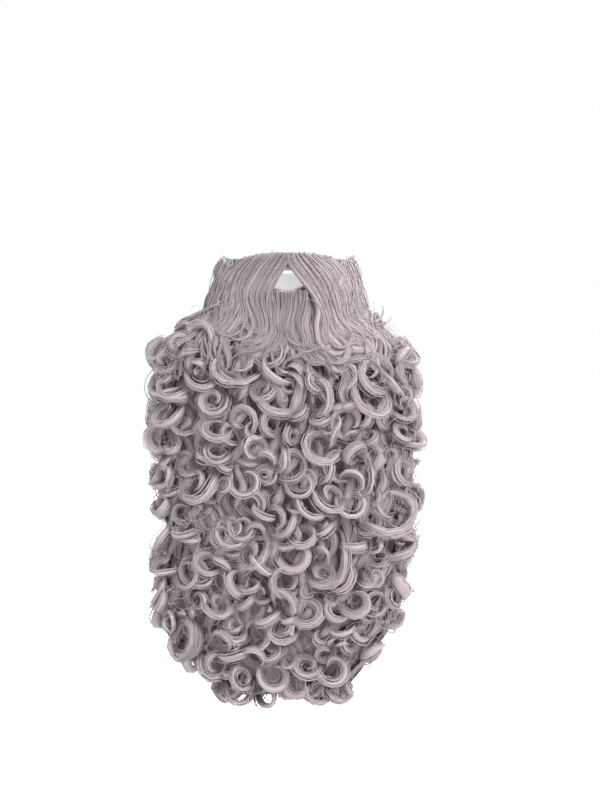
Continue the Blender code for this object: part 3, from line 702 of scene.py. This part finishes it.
def build_core():
    """The under-hair that closes the fall between its locks, in wavy ridges side by side, dark with painted
    shade that is deepest in the grooves between ridges.
    """
    heights = np.concatenate([[CORE_TOP], np.linspace(CORE_SHOULDER, CORE_LOW, 80)])
    turns = np.linspace(-math.pi, math.pi, CORE_COLUMNS + 1)[:-1]
    rings, phases = [np.array(part) for part in zip(*[ridged_ring(z, turns) for z in heights])]
    n, m = rings.shape[:2]
    row = np.arange(n - 1)[:, None] * m
    j = np.arange(m)
    k = (j + 1) % m
    quads = np.stack([row + j, row + m + j, row + m + k, row + k], -1).reshape(-1, 4)
    points = np.concatenate([rings.reshape(-1, 3), [rings[0].mean(0), rings[-1].mean(0)]])
    top = np.stack([np.full(m, n * m), j, k], -1)
    low = np.stack([np.full(m, n * m + 1), (n - 1) * m + k, (n - 1) * m + j], -1)
    strand = np.stack(np.broadcast_arrays(phases / (2 * math.pi) * 0.8, heights[:, None] * 25), -1)
    uv = np.concatenate([strand.reshape(-1, 2), [[0, 0], [0, 0]]])
    # Painted shade: the grooves between the ridges are darker than their tops, and the whole under-hair is
    # dark
    shade = np.concatenate([0.10 + 0.42 * np.abs(np.sin(phases / 2)).reshape(-1), [0.1, 0.1]])
    return mesh_from_arrays("under_hair", points, quads, np.concatenate([top, low]), uv, shade)


def smooth_line(points, steps):
    """A line through points, rounded and evenly divided."""
    points = np.array(points, float)
    for _ in range(3):
        middles = (points[:-1] + points[1:]) / 2
        quarters = np.empty((2 * len(middles), points.shape[1]))
        quarters[0::2] = points[:-1] * 0.75 + points[1:] * 0.25
        quarters[1::2] = points[:-1] * 0.25 + points[1:] * 0.75
        quarters[0], quarters[-1] = points[0], points[-1]
        points = quarters
    length = np.concatenate([[0], np.cumsum(np.linalg.norm(np.diff(points, axis=0), axis=1))])
    where = np.linspace(0, length[-1], steps)
    return np.stack([np.interp(where, length, points[:, i]) for i in range(points.shape[1])], -1)


def laid_over(flat, clear):
    """Points of a front view line x, z laid over what is behind it, clear metres in front of it."""
    x, z = flat[:, 0], flat[:, 1]
    y = front_y(x, z) - clear
    gap = np.linalg.norm(np.diff(flat, axis=0), axis=1)
    for i in range(1, len(y)):
        y[i] = min(y[i], y[i - 1] + 0.45 * gap[i - 1])
    for i in range(len(y) - 2, -1, -1):
        y[i] = min(y[i], y[i + 1] + 1.3 * gap[i])
    for _ in range(3):
        y[1:-1] = (y[:-2] + 2 * y[1:-1] + y[2:]) / 4
    return np.stack([x, y, z], -1)


def hooked(flat, sense, radius, flips):
    """The front view line with a curl added at its end, or an S where the curl flips over."""
    ahead = unit(flat[-1] - flat[-2])
    heading = math.atan2(ahead[1], ahead[0])
    pace = 5.0 * MM
    points = list(flat)
    for i in range(10):
        turn = sense * pace / (radius * (1.3 - 0.05 * i))
        heading += -0.8 * turn if flips and i > 4 else turn
        points.append(points[-1] + pace * np.array([math.cos(heading), math.sin(heading)]))
    return np.array(points)


def combed_path(flat, count, half, clear):
    """A combed lock's line in front of the beard, curled at its tip, and its half widths."""
    outer = 1 if flat[-1, 0] > 0 else -1
    sideways = abs(unit(flat[count - 1] - flat[count - 2])[0]) > 0.6
    sense = -outer if sideways or RNG.random() < 0.15 else outer
    flat = hooked(flat[:count], sense, RNG.uniform(12, 22) * MM, RNG.random() < 0.5)
    half = half[:count]
    half = np.concatenate([half, np.full(len(flat) - count, half[-1])])
    share = np.linspace(0, 1, len(flat))
    return laid_over(flat, clear + RNG.uniform(0, 2.5 * MM) + 6 * MM * smooth(share, 0.35, 0.75)), half


def combed_locks(hair, guides, locks, strands, steps, clear, narrow=0.3, overlap=1.25, tone=1.0):
    """Locks side by side between guide lines, each a bundle of strands that narrows to its tip."""
    lines = np.array([smooth_line(np.array(guide) * MM, steps) for guide in guides])
    last = len(guides) - 1

    def line_at(across):
        across = min(max(across, 0), last)
        low = min(int(across), last - 1)
        return lines[low] * (1 - across + low) + lines[low + 1] * (across - low)

    s = np.linspace(0, 1, steps)
    for k in RNG.permutation(locks):
        middle = (k + 0.5) / locks * last
        flat = line_at(middle)
        swing = RNG.normal(0, 1.3 * MM) * np.sin(2 * math.pi * s * RNG.uniform(0.8, 1.5))
        flat = flat + np.stack([swing, 0 * swing], -1) * smooth(s, 0, 0.4)[:, None]
        flat[:, 1] -= RNG.uniform(0, 1.2 * MM) * (1 - smooth(s, 0, 0.3))
        near, far = line_at(middle - 0.5 * last / locks), line_at(middle + 0.5 * last / locks)
        half = np.linalg.norm(far - near, axis=1) / 2 * overlap
        half = np.clip(half, 3 * MM, 8.5 * MM) * (1 - narrow * smooth(s, 0.3, 1.0))
        path, half = combed_path(flat, int(steps * RNG.uniform(0.72, 1.0)), half, clear)
        ahead = unit(np.gradient(path, axis=0))
        wide = np.cross(ahead, np.array([0, -1.0, 0]) + 0.4 * np.array([RNG.normal(), 0, RNG.normal()]))
        add_lock(hair, path, wide, half, strands, 2.0 * MM, tone, COMBED)


def combed_edge(x):
    """The height down to which the combed hair lies over the curls at x."""
    return np.interp(x, [-0.12, -0.09, -0.03, 0.05, 0.10, 0.13], [0.02, -0.018, -0.036, -0.040, -0.030, 0.02])


def band_of(bands, z):
    """The piece of the front that holds what hangs from z."""
    return bands[0 if z > FRONT_BANDS[0][1] else 1 if z > FRONT_BANDS[1][1] else 2]


def add_shown_curls(bands):
    """The curls of the table. Returns where each is, and its radius."""
    taken = []
    for curl in CURLS:
        z = -curl.down * FALL_LENGTH
        x = curl.across * BEARD_HALF_WIDTH
        radius = curl.radius * MM * CURL_GROWTH
        taken.append((x, z, radius))
        path, wide = curl_path(
            z, float(turn_at(z, x)), radius, curl.sense, curl.tilt, any_facing(), curl.lean,
            RNG.uniform(350, 470), 19, 5 * MM, RNG.uniform(0.2, 1.0)
        )
        add_lock(band_of(bands, z), path, wide, curl.radius * 0.46 * MM, 22, 2.6 * MM)
    return taken


def add_waves(hair):
    """The wavy locks of the table, under the combed hair."""
    for guide in WAVES:
        path = laid_over(smooth_line(np.array(guide) * MM, 20), 7 * MM)
        wide = np.cross(unit(np.gradient(path, axis=0)), (0.3, -1.0, 0.2))
        add_lock(hair, path, wide, 6.5 * MM, 26, 2.6 * MM)


def add_hanging_locks(bands):
    """Rows of locks that hang in waves beneath the curls."""
    for z in np.arange(FRONT_LOCKS.top, FRONT_LOCKS.bottom, -FRONT_LOCKS.drop):
        left, right, _, _ = section_at(z)
        for x in np.arange(-left * 0.93, right * 0.93, FRONT_LOCKS.across):
            x = x + RNG.normal(0, 3 * MM)
            top = z + RNG.normal(0, 8 * MM)
            if top > combed_edge(x) + 25 * MM:
                continue
            path, wide = hanging_path(
                top, float(turn_at(top, x)), RNG.uniform(55, 75) * MM, RNG.uniform(4, 9) * MM,
                RNG.uniform(0.8, 1.5), RNG.uniform(0, 6.28), 15, RNG.uniform(-3, 1) * MM
            )
            add_lock(band_of(bands, z), path, wide, RNG.uniform(6, 9) * MM, 6, tone=0.75)


def add_small_curls(bands, taken):
    """Rows of curls wherever those of the table leave room."""
    for row, z in enumerate(np.arange(FRONT_CURLS.top, FRONT_CURLS.bottom, -FRONT_CURLS.drop)):
        left, right, _, _ = section_at(z)
        share = 0.96 - 0.16 * float(smooth(-z, 0.36, 0.43))
        for x in np.arange(-left * share + 12 * MM * (row % 2), right * share, FRONT_CURLS.across):
            x = x + RNG.normal(0, 6 * MM)
            top = z + RNG.normal(0, 8 * MM)
            radius = (9 + 12 * RNG.random() ** 1.3) * MM
            near = [math.hypot(x - a, top - b) / (r + radius) for a, b, r in taken]
            if min(near) < 0.52 or top > combed_edge(x):
                continue
            tilt = RNG.uniform(5, 35) if RNG.random() < 0.5 else RNG.uniform(45, 80)
            ring = RNG.uniform(280, 450)
            steps = int(8 + ring / 360 * (4 + radius * 300))
            path, wide = curl_path(
                top, float(turn_at(top, x)), radius, RNG.choice([-1, 1]), tilt, any_facing(),
                RNG.uniform(-60, 60), ring, steps, RNG.uniform(1, 6) * MM, RNG.uniform(0.1, 1.1)
            )
            add_lock(band_of(bands, z), path, wide, radius * RNG.uniform(0.38, 0.5), 13, 2.4 * MM)


def add_any_curl(hair, z, turn, radius, tilt, ring, height, fan, half_width, strands):
    """A curl with its radius, tilt, ring and height drawn from their ranges, and a fan of up to fan."""
    path, wide = curl_path(
        z, turn, RNG.uniform(*radius) * MM, RNG.choice([-1, 1]), RNG.uniform(*tilt), any_facing(),
        RNG.uniform(-40, 40), RNG.uniform(*ring), 15, RNG.uniform(*height) * MM, RNG.uniform(0.1, fan)
    )
    add_lock(hair, path, wide, half_width * MM, strands, 2.4 * MM)


def add_bottom_curls(hair):
    """A ring of curls round the fall's lower end."""
    for turn in np.arange(-math.pi, math.pi, 0.40):
        z = BOTTOM_CURLS + RNG.normal(0, 4 * MM)
        turn = turn + RNG.normal(0, 0.06)
        add_any_curl(hair, z, turn, (11, 16), (10, 60), (320, 450), (0, 3), 1.0, 6, 14)


def add_flyaways(hair, low, high):
    """Single fine hairs that stand off the mass in loose arcs."""
    angles = np.linspace(0, 1, 10)
    for _ in range(FLYAWAYS):
        turn = RNG.uniform(-1.8, 1.8) if RNG.random() < 0.4 else RNG.choice([-1, 1]) * RNG.uniform(1.0, 1.8)
        place, normal, sideways, upwards = frame_at(RNG.uniform(low, high), turn)
        heading = RNG.uniform(0, 2 * math.pi)
        along = sideways * math.cos(heading) + upwards * math.sin(heading)
        radius, sweep = RNG.uniform(9, 24) * MM, RNG.uniform(1.5, 4.5)
        loop = along * (radius * np.sin(angles * sweep))[:, None]
        loop = loop + np.cross(normal, along) * (radius * (1 - np.cos(angles * sweep)))[:, None]
        rise = RNG.uniform(0, 5) * MM + RNG.uniform(3, 9) * MM * np.sin(angles * math.pi)
        path = place + loop + normal * rise[:, None]
        path = path - normal * 0.9 * np.maximum(lift_of(path) - 12 * MM, 0)[:, None]
        side, ahead = across_of(path, np.broadcast_to(normal, path.shape))
        face = np.cross(ahead, side) * FLYAWAY_RADIUS * MM
        side = side * FLYAWAY_RADIUS * MM
        hair.add(path[None], side[None], face[None], 3, RNG.uniform(0, 9, 1), 0, np.ones(1))


def build_curls():
    """The front of the fall, in three pieces of hair from the top down."""
    bands = [Hair(), Hair(), Hair()]
    taken = add_shown_curls(bands)
    add_waves(bands[0])
    add_hanging_locks(bands)
    add_small_curls(bands, taken)
    add_bottom_curls(bands[2])
    for band, (high, low) in zip(bands, FRONT_BANDS):
        add_flyaways(band, low, high)
    return bands


def build_back():
    """The inner side of the fall: locks that hang in waves, with curls over them."""
    hair = Hair()
    for z in np.arange(BACK_LOCKS.top, BACK_LOCKS.bottom, -BACK_LOCKS.drop):
        for turn in np.arange(1.38, 2 * math.pi - 1.38, BACK_LOCKS.across):
            path, wide = hanging_path(
                z + RNG.normal(0, 7 * MM), turn + RNG.normal(0, 0.05), RNG.uniform(60, 80) * MM,
                RNG.uniform(4, 9) * MM, RNG.uniform(0.8, 1.5), RNG.uniform(0, 6.28), 15,
                RNG.uniform(-2, 2) * MM
            )
            add_lock(hair, path, wide, RNG.uniform(8, 11) * MM, 7, tone=0.85)
    for row, z in enumerate(np.arange(BACK_CURLS.top, BACK_CURLS.bottom, -BACK_CURLS.drop)):
        for turn in np.arange(1.28, 2 * math.pi - 1.28, BACK_CURLS.across):
            place = z + RNG.normal(0, 6 * MM)
            turn = turn + RNG.normal(0, 0.05) + 0.2 * (row % 2)
            add_any_curl(hair, place, turn, (14, 21), (20, 65), (280, 420), (2, 6), 1.1, 8.5, 9)
    return hair


def in_front_of_face(path, clear):
    """The path moved forward where it would lie behind the cloth's outer face."""
    x, y, z = path[:, 0], path[:, 1], path[:, 2]
    ahead = np.minimum(y, face_front(x, z) - clear)
    return np.stack([x, np.where(np.abs(x) < EAR_HALF_WIDTH, ahead, y), z], -1)


def add_cheek_waves(hair, side):
    """Wavy locks from the cheek's edge down to the first curls of the fall."""
    for down in CHEEK_DROPS:
        for turn in np.arange(29, 110, 8.0) + RNG.uniform(-2, 2):
            length = RNG.uniform(58, 84) * MM
            top = min(cloth_edges(math.radians(min(turn, 98)))[1], 80 * MM) - down
            path, wide = hanging_path(
                top + RNG.normal(0, 1 * MM) - 1.5 * MM, side * math.radians(turn), length,
                RNG.uniform(3, 7) * MM, RNG.uniform(0.9, 1.5), RNG.uniform(0, 6.28), 16,
                RNG.uniform(1, 4) * MM, side * RNG.normal(0, 0.08)
            )
            path = in_front_of_face(path, 4 * MM)
            add_lock(hair, path, wide, RNG.uniform(5.5, 7.5) * MM, 10)


def hair_depth(turn, height):
    """A place just outside the cloth, and how thick the under-hair is over it."""
    place = np.array(face_place(turn, height, 3 * MM))
    reach = np.linspace(0, 60 * MM, 41)
    inside = lift_of(place + np.array([math.sin(turn), -math.cos(turn), 0]) * reach[:, None]) < -6 * MM
    return place, max(2 * MM, reach[inside].max() if inside.any() else 0)


def add_ear_locks(hair, side):
    """Locks over the cloth's end beside the ear."""
    s = np.linspace(0, 1, 16)
    for turn in np.radians(EAR_LOCK_TURNS):
        low, high = cloth_edges(min(turn, EAR_TURN))
        heights = np.linspace(high + RNG.uniform(-1, 0.5) * MM, low - RNG.uniform(4, 20) * MM, 16)
        out = np.array([side * math.sin(turn), -math.cos(turn), 0])
        ahead = np.array([-out[1], out[0], 0])
        swing = RNG.uniform(2, 4) * MM * smooth(s, 0, 0.4) * np.sin(RNG.uniform(0, 6) + 9 * s)
        path = []
        for height, move in zip(heights, swing):
            place, depth = hair_depth(side * turn, height)
            path.append(place + out * (min(depth, 14 * MM) + 1.5 * MM) + ahead * move)
        add_lock(hair, np.array(path), np.broadcast_to(ahead, (16, 3)), 5 * MM, 12)


def closed_sheet(name, points, thickness):
    """A closed body of a grid of points: its outer face is the thickness vectors further out."""
    rows, columns = points.shape[:2]
    vertices = np.concatenate([points.reshape(-1, 3), (points + thickness).reshape(-1, 3)])
    index = np.arange(rows * columns).reshape(rows, columns)
    shift = rows * columns
    a, b, c, d = index[:-1, :-1], index[:-1, 1:], index[1:, 1:], index[1:, :-1]
    inner_faces = np.stack([a, b, c, d], -1).reshape(-1, 4)
    outer_faces = np.stack([a, d, c, b], -1).reshape(-1, 4) + shift
    border = np.concatenate([index[0], index[1:, -1], index[-1, -2::-1], index[-2::-1, 0]])
    ahead = np.roll(border, -1)
    sides = np.stack([border, border + shift, ahead + shift, ahead], -1)[:-1]
    quads = np.concatenate([inner_faces, outer_faces, sides])
    u, v = np.meshgrid(np.linspace(0, 18, columns), np.linspace(0, 2, rows))
    uv = np.tile(np.stack([u, v], -1).reshape(-1, 2), (2, 1))
    # Painted shade: the whole sheet is darkened by an even shade of 0.4
    return mesh_from_arrays(name, vertices, quads, np.zeros((0, 3), int), uv, np.full(len(vertices), 0.4))


def past(turn, first, last):
    """How far a turn is from first to last, in degrees, eased from 0 to 1."""
    return float(smooth(abs(turn), math.radians(first), math.radians(last)))


def build_jaw_base():
    """The under-hair between the cloth and the locks, with the mouth left open."""
    turns = np.radians(np.linspace(-100, 100, 81))
    points, depths = [], []
    for share in np.linspace(0, 1, 22):
        row = []
        for turn in turns:
            low, high = cloth_edges(min(abs(turn), EAR_TURN))
            low = -16 * MM + (low + 13 * MM) * past(turn, 55, 95)
            top = 26 * MM + (high - 3 * MM - 26 * MM) * past(turn, 27, 48)
            row.append(hair_depth(turn, low + (top - low) * share))
        points.append([place for place, _ in row])
        depths.append([depth for _, depth in row])
    thickness = level_outwards(turns)[None] * np.array(depths)[..., None]
    return closed_sheet("jaw_under_hair", np.array(points), thickness)


def thick_sheet(name, points, thickness, keep, uv):
    """A closed cloth of a grid of points, without the faces that keep leaves out, and its area. Its
    outer face is the thickness vectors further out."""
    rows, columns = points.shape[:2]
    index = np.arange(rows * columns).reshape(rows, columns)
    faces = np.stack([index[:-1, :-1], index[:-1, 1:], index[1:, 1:], index[1:, :-1]], -1)[keep]
    starts, ends = faces.reshape(-1), np.roll(faces, -1, axis=1).reshape(-1)
    size = rows * columns
    border = ~np.isin(starts * size + ends, ends * size + starts)
    a, b = starts[border], ends[border]
    sides = np.stack([a, a + size, b + size, b], -1)
    quads = np.concatenate([faces, faces[:, ::-1] + size, sides])
    used = np.unique(quads)
    renumber = np.zeros(2 * size, int)
    renumber[used] = np.arange(len(used))
    both = np.concatenate([points.reshape(-1, 3), (points + thickness).reshape(-1, 3)])[used]
    both_uv = np.tile(uv.reshape(-1, 2), (2, 1))[used]
    none = np.zeros((0, 3), int)
    obj = mesh_from_arrays(name, both, renumber[quads], none, both_uv, np.ones(len(used)))
    corners = points.reshape(-1, 3)[faces]
    diagonals = np.cross(corners[:, 2] - corners[:, 0], corners[:, 3] - corners[:, 1])
    return obj, float(np.linalg.norm(diagonals, axis=1).sum() / 2)


def lengths_along(points):
    """How far each point of a line is from its start."""
    return np.concatenate([[0], np.cumsum(np.linalg.norm(np.diff(points, axis=0), axis=1))])


def build_backing():
    """The shaped cloth that the hair is sewn to, with its mouth opening; its flat size and area."""
    turns = np.linspace(-EAR_TURN, EAR_TURN, 133)
    shares = np.linspace(0, 1, 35)
    edges = np.array([cloth_edges(abs(turn)) for turn in turns])
    heights = edges[None, :, 0] + (edges[:, 1] - edges[:, 0])[None] * shares[:, None]
    points = np.array([[face_place(t, h, 0.0) for t, h in zip(turns, row)] for row in heights])
    x, z = points[..., 0] / (MOUTH_WIDTH / 2), (points[..., 2] - MOUTH_HEIGHT) / (MOUTH_OPENING / 2)
    reach = np.hypot(x, z) + 10 * (points[..., 1] > 0.05)
    middle = (reach[:-1, :-1] + reach[1:, 1:] + reach[:-1, 1:] + reach[1:, :-1]) / 4
    push = np.where(reach < 1.0, 1 / np.maximum(reach, 0.3), 1)
    points[..., 0] *= push
    points[..., 2] = MOUTH_HEIGHT + (points[..., 2] - MOUTH_HEIGHT) * push
    across = lengths_along(points[17])
    uv = np.stack(np.broadcast_arrays(across[None], heights), -1)
    cloth, area = thick_sheet("cloth_backing", points, level_outwards(turns)[None] * CLOTH, middle > 1.0, uv)
    return cloth, (float(across[-1]), float(heights.max() - heights.min())), area


def band_point(turn, share, outwards):
    """A place on the band: share 0 is its lower edge and 1 its upper edge."""
    behind = 0.5 - 0.5 * math.cos((turn - BAND_START) / (math.pi - BAND_START) * math.pi)
    height = BAND_HEIGHT - BAND_DROP * behind + BAND_WIDTH * (share - 0.5)
    return face_place(turn, height, outwards)


def build_band():
    """The elastic band, ribbed along its length, and its length."""
    turns = np.linspace(BAND_START, 2 * math.pi - BAND_START, 121)
    shares = np.linspace(0, 1, 23)
    inside = -(SEAM_GAP + BAND_THICKNESS)
    points = np.array([[band_point(turn, share, inside) for turn in turns] for share in shares])
    rib = RIB_HEIGHT * np.cos(shares * 2 * math.pi * BAND_RIBS)[:, None, None]
    outwards = level_outwards(turns)[None]
    points = points - outwards * (rib - RIB_HEIGHT)
    along = lengths_along(points[11])
    uv = np.stack(np.broadcast_arrays(along[None], (shares * BAND_WIDTH)[:, None]), -1)
    keep = np.ones((len(shares) - 1, len(turns) - 1), bool)
    depth = BAND_THICKNESS - RIB_HEIGHT + rib
    return thick_sheet("elastic_band", points, outwards * depth, keep, uv)[0], float(along[-1])


def build_stitch_tree(material):
    """Stitches along a line: its edges are evenly divided, with a short thread on each point."""
    tree = bpy.data.node_groups.new("stitch_row", "GeometryNodeTree")
    tree.interface.new_socket("Geometry", in_out="INPUT", socket_type="NodeSocketGeometry")
    for word, value in (("Spacing", 0.0040), ("Stitch Length", 0.0028), ("Thread Radius", 0.00035)):
        tree.interface.new_socket(word, in_out="INPUT", socket_type="NodeSocketFloat").default_value = value
    tree.interface.new_socket("Geometry", in_out="OUTPUT", socket_type="NodeSocketGeometry")
    given = tree.nodes.new("NodeGroupInput").outputs
    line = add_node(tree, "GeometryNodeMeshToCurve", Mesh=given["Geometry"])
    even = add_node(tree, "GeometryNodeResampleCurve", BY_LENGTH, Curve=line, Length=given["Spacing"])
    tangent = add_node(tree, "GeometryNodeInputTangent")
    turned = add_node(tree, "FunctionNodeAlignRotationToVector", {"axis": "Z"}, Vector=tangent)
    thread = add_node(tree, "GeometryNodeMeshUVSphere", Segments=6, Rings=5, Radius=0.5)
    radius = given["Thread Radius"]
    size = add_node(tree, "ShaderNodeCombineXYZ", X=radius, Y=radius, Z=given["Stitch Length"])
    whole = add_node(tree, "ShaderNodeVectorMath", TIMES, i0=size, i1=(2, 2, 1))
    sewn = {"Points": even, "Instance": thread, "Rotation": turned, "Scale": whole}
    stitches = add_node(tree, "GeometryNodeInstanceOnPoints", **sewn)
    real = add_node(tree, "GeometryNodeRealizeInstances", Geometry=stitches)
    smooth_faces = add_node(tree, "GeometryNodeSetShadeSmooth", Geometry=real)
    painted = add_node(tree, "GeometryNodeSetMaterial", Geometry=smooth_faces, Material=material)
    tree.links.new(painted, tree.nodes.new("NodeGroupOutput").inputs["Geometry"])
    return tree


def grown(name, source, tree):
    """The plain mesh that a Geometry Nodes tree makes of a mesh object, as a new object."""
    modifier = source.modifiers.new(tree.name, "NODES")
    modifier.node_group = tree
    made = source.evaluated_get(bpy.context.evaluated_depsgraph_get())
    mesh = bpy.data.meshes.new_from_object(made)
    source.modifiers.remove(modifier)
    return placed(name, mesh)


def stitched(name, slot, lines, tree):
    """A piece with a row of stitches along each line of points."""
    points, edges = [], []
    for line in lines:
        edges += [(len(points) + i, len(points) + i + 1) for i in range(len(line) - 1)]
        points += [tuple(point) for point in line]
    mesh = bpy.data.meshes.new(name + "_lines")
    mesh.from_pydata(points, edges, [])
    source = placed(name + "_lines", mesh)
    obj = grown(name, source, tree)
    bpy.data.objects.remove(source)
    finish_piece(obj, slot)
    return obj


def mouth_ring(margin, outwards):
    """Points round the mouth opening, margin outside its edge."""
    ring = []
    for angle in np.linspace(0, 2 * math.pi, 73):
        x = (MOUTH_WIDTH / 2 + margin) * math.cos(angle)
        z = MOUTH_HEIGHT + (MOUTH_OPENING / 2 + margin) * math.sin(angle)
        ring.append(face_place(math.asin(x / face_size(z, outwards)[0]), z, outwards))
    return np.array(ring)


def cloth_edge_line(edge, margin, outwards):
    """Points along the cloth's lower edge, 0, or upper edge, 1, margin inside it."""
    line = []
    for turn in np.linspace(-EAR_TURN, EAR_TURN, 160):
        height = cloth_edges(abs(turn))[edge] + margin * (1 - 2 * edge)
        line.append(face_place(turn, height, outwards))
    return np.array(line)


def build_binding():
    """The narrow binding folded over the cloth's edges and round its mouth opening."""
    binding = Hair()
    middle = CLOTH / 2
    edges = [cloth_edge_line(edge, 0.6 * MM, middle) for edge in (0, 1)]
    for line in edges + [mouth_ring(0.4 * MM, middle)]:
        lines = line[None]
        ahead = unit(np.gradient(lines, axis=1))
        face = unit(np.cross(ahead, np.array([0, 0, 1.0])))
        side = np.cross(ahead, face)
        binding.add(lines, side * 2.0 * MM, face * 1.7 * MM, 10, np.zeros(1), 0.0, np.ones(1))
    return binding.build("edge_binding")


def dress_backing(weave, stitch_tree):
    """The cloth with its binding and hem stitches."""
    finish = cloth_material("backing_cloth", weave, BACKING_GREYS, 850, 850, 0.85)
    tape = cloth_material("binding_tape", weave, TAPE_GREYS, 60, 1400, 0.75)
    cloth, flat, area = build_backing()
    finish_piece(cloth, "backing_cloth", "face_backing", material=finish)
    binding = build_binding()
    finish_piece(binding, "backing_cloth", material=tape)
    inside = -0.15 * MM
    rows = [cloth_edge_line(0, HEM, inside), cloth_edge_line(1, HEM, inside), mouth_ring(HEM, inside)]
    hem = stitched("hem_stitches", "backing_cloth", rows, stitch_tree)


def dress_band(weave, stitch_tree):
    """The elastic band with two seams at each end."""
    finish = cloth_material("woven_elastic", weave, ELASTIC_GREYS, 700, 500, 0.7)
    band, length = build_band()
    finish_piece(band, "elastic_band", "elastic_strap", material=finish)
    inside = -(SEAM_GAP + BAND_THICKNESS) - 0.1 * MM
    rows = []
    for side in (-1, 1):
        for offset in (2.5, 6.0):
            turn = BAND_START + math.radians(offset)
            turn = turn if side > 0 else 2 * math.pi - turn
            rows.append([band_point(turn, share, inside) for share in np.linspace(0.06, 0.94, 12)])
    seam = stitched("band_stitches", "elastic_band", rows, stitch_tree)


def dress_hair():
    """The under-hair, the curls, the cheeks, the chin, the moustache and the lip tuft."""
    streaks = build_streaks()
    curls_finish = hair_material("grey_curls", streaks, MID_HAIR, WARM_HAIR, 0.40)
    # Painted shade: the under-hair gets a darker hair colour for the shade between the locks
    shaded_under_finish = hair_material("grey_under_hair_shaded", streaks, SHADED_UNDER_HAIR, SHADED_UNDER_HAIR, 0.6)
    finish_piece(build_core(), "curly_hair", "beard_fall", material=shaded_under_finish)
    behind = build_back()
    names = ("curls_upper", "curls_middle", "curls_lower", "curls_behind")
    for name, hair in zip(names, build_curls() + [behind]):
        finish_piece(hair.build(name), "curly_hair", material=curls_finish)
    nodes = ("chin_hair", "cheek_hair_left", "cheek_hair_right")
    finish_piece(build_jaw_base(), "curly_hair", *nodes, material=shaded_under_finish)
    for side, word in ((-1, "left"), (1, "right")):
        cheek = Hair(0.004)
        add_cheek_waves(cheek, side)
        add_ear_locks(cheek, side)
        finish_piece(cheek.build("cheek_locks_" + word), "curly_hair", material=curls_finish)
    chin = Hair(0.006)
    combed_locks(chin, CHIN_GUIDES, 9, 11, 15, 0.5 * MM)
    finish_piece(chin.build("chin_locks"), "curly_hair", material=curls_finish)
    for comb in COMBS:
        combed = Hair(0.010)
        combed_locks(combed, comb.guides, comb.locks, 22, 20, 1.5 * MM, tone=comb.tone)
        combed_locks(combed, comb.guides, comb.locks + 2, 10, 18, 4.5 * MM, 0.6, 0.7, comb.tone)
        finish_piece(combed.build(comb.piece), "straight_hair", comb.node, material=curls_finish)


def build_floor():
    """A pale floor that shows as plain white."""
    bm = bmesh.new()
    bmesh.ops.create_grid(bm, x_segments=1, y_segments=1, size=30)
    bmesh.ops.translate(bm, verts=bm.verts, vec=(0, 0, FLOOR))
    mesh = bpy.data.meshes.new("floor")
    bm.to_mesh(mesh)
    bm.free()
    floor = placed("floor", mesh)
    white = (1, 1, 1, 1)
    material, tree, shader = new_material(
        "pale_floor", Base_Color=(0.9, 0.9, 0.9, 1), Roughness=0.9, Emission_Color=white
    )
    seen = add_node(tree, "ShaderNodeLightPath", out="Is Camera Ray")
    glow = add_node(tree, "ShaderNodeMath", TIMES, i0=seen, i1=FLOOR_GLOW)
    tree.links.new(glow, shader.inputs["Emission Strength"])
    mesh.materials.append(material)


def light_room():
    """Soft white light from all round, with three lamps."""
    world = bpy.data.worlds.new("studio")
    bpy.context.scene.world = world
    world.use_nodes = True
    tree = world.node_tree
    background = tree.nodes["Background"]
    background.inputs["Color"].default_value = (1, 1, 1, 1)
    seen = add_node(tree, "ShaderNodeLightPath", out="Is Camera Ray")
    level = add_node(tree, "ShaderNodeMapRange", Value=seen, To_Min=ROOM_LIGHT, To_Max=1.0)
    tree.links.new(level, background.inputs["Strength"])
    for lamp in LAMPS:
        light = bpy.data.lights.new(lamp.name, "AREA")
        light.size = lamp.size
        light.energy = lamp.power
        obj = placed(lamp.name, light)
        obj.location = lamp.place
        obj.rotation_euler = (LIT_POINT - Vector(lamp.place)).to_track_quat("-Z", "Y").to_euler()


def place_camera():
    """The camera at the photograph's angle, level and far off."""
    lens = bpy.data.cameras.new("camera")
    lens.lens = LENS
    lens.sensor_width = 36
    camera = placed("camera", lens)
    camera.location = CAMERA_PLACE
    camera.rotation_euler = (math.pi / 2, 0, 0)
    bpy.context.scene.camera = camera
    bpy.context.scene.view_settings.view_transform = "Standard"


def main():
    weave = build_weave()
    stitch_tree = build_stitch_tree(thread_material())
    dress_backing(weave, stitch_tree)
    dress_band(weave, stitch_tree)
    dress_hair()
    build_floor()
    light_room()
    place_camera()


main()
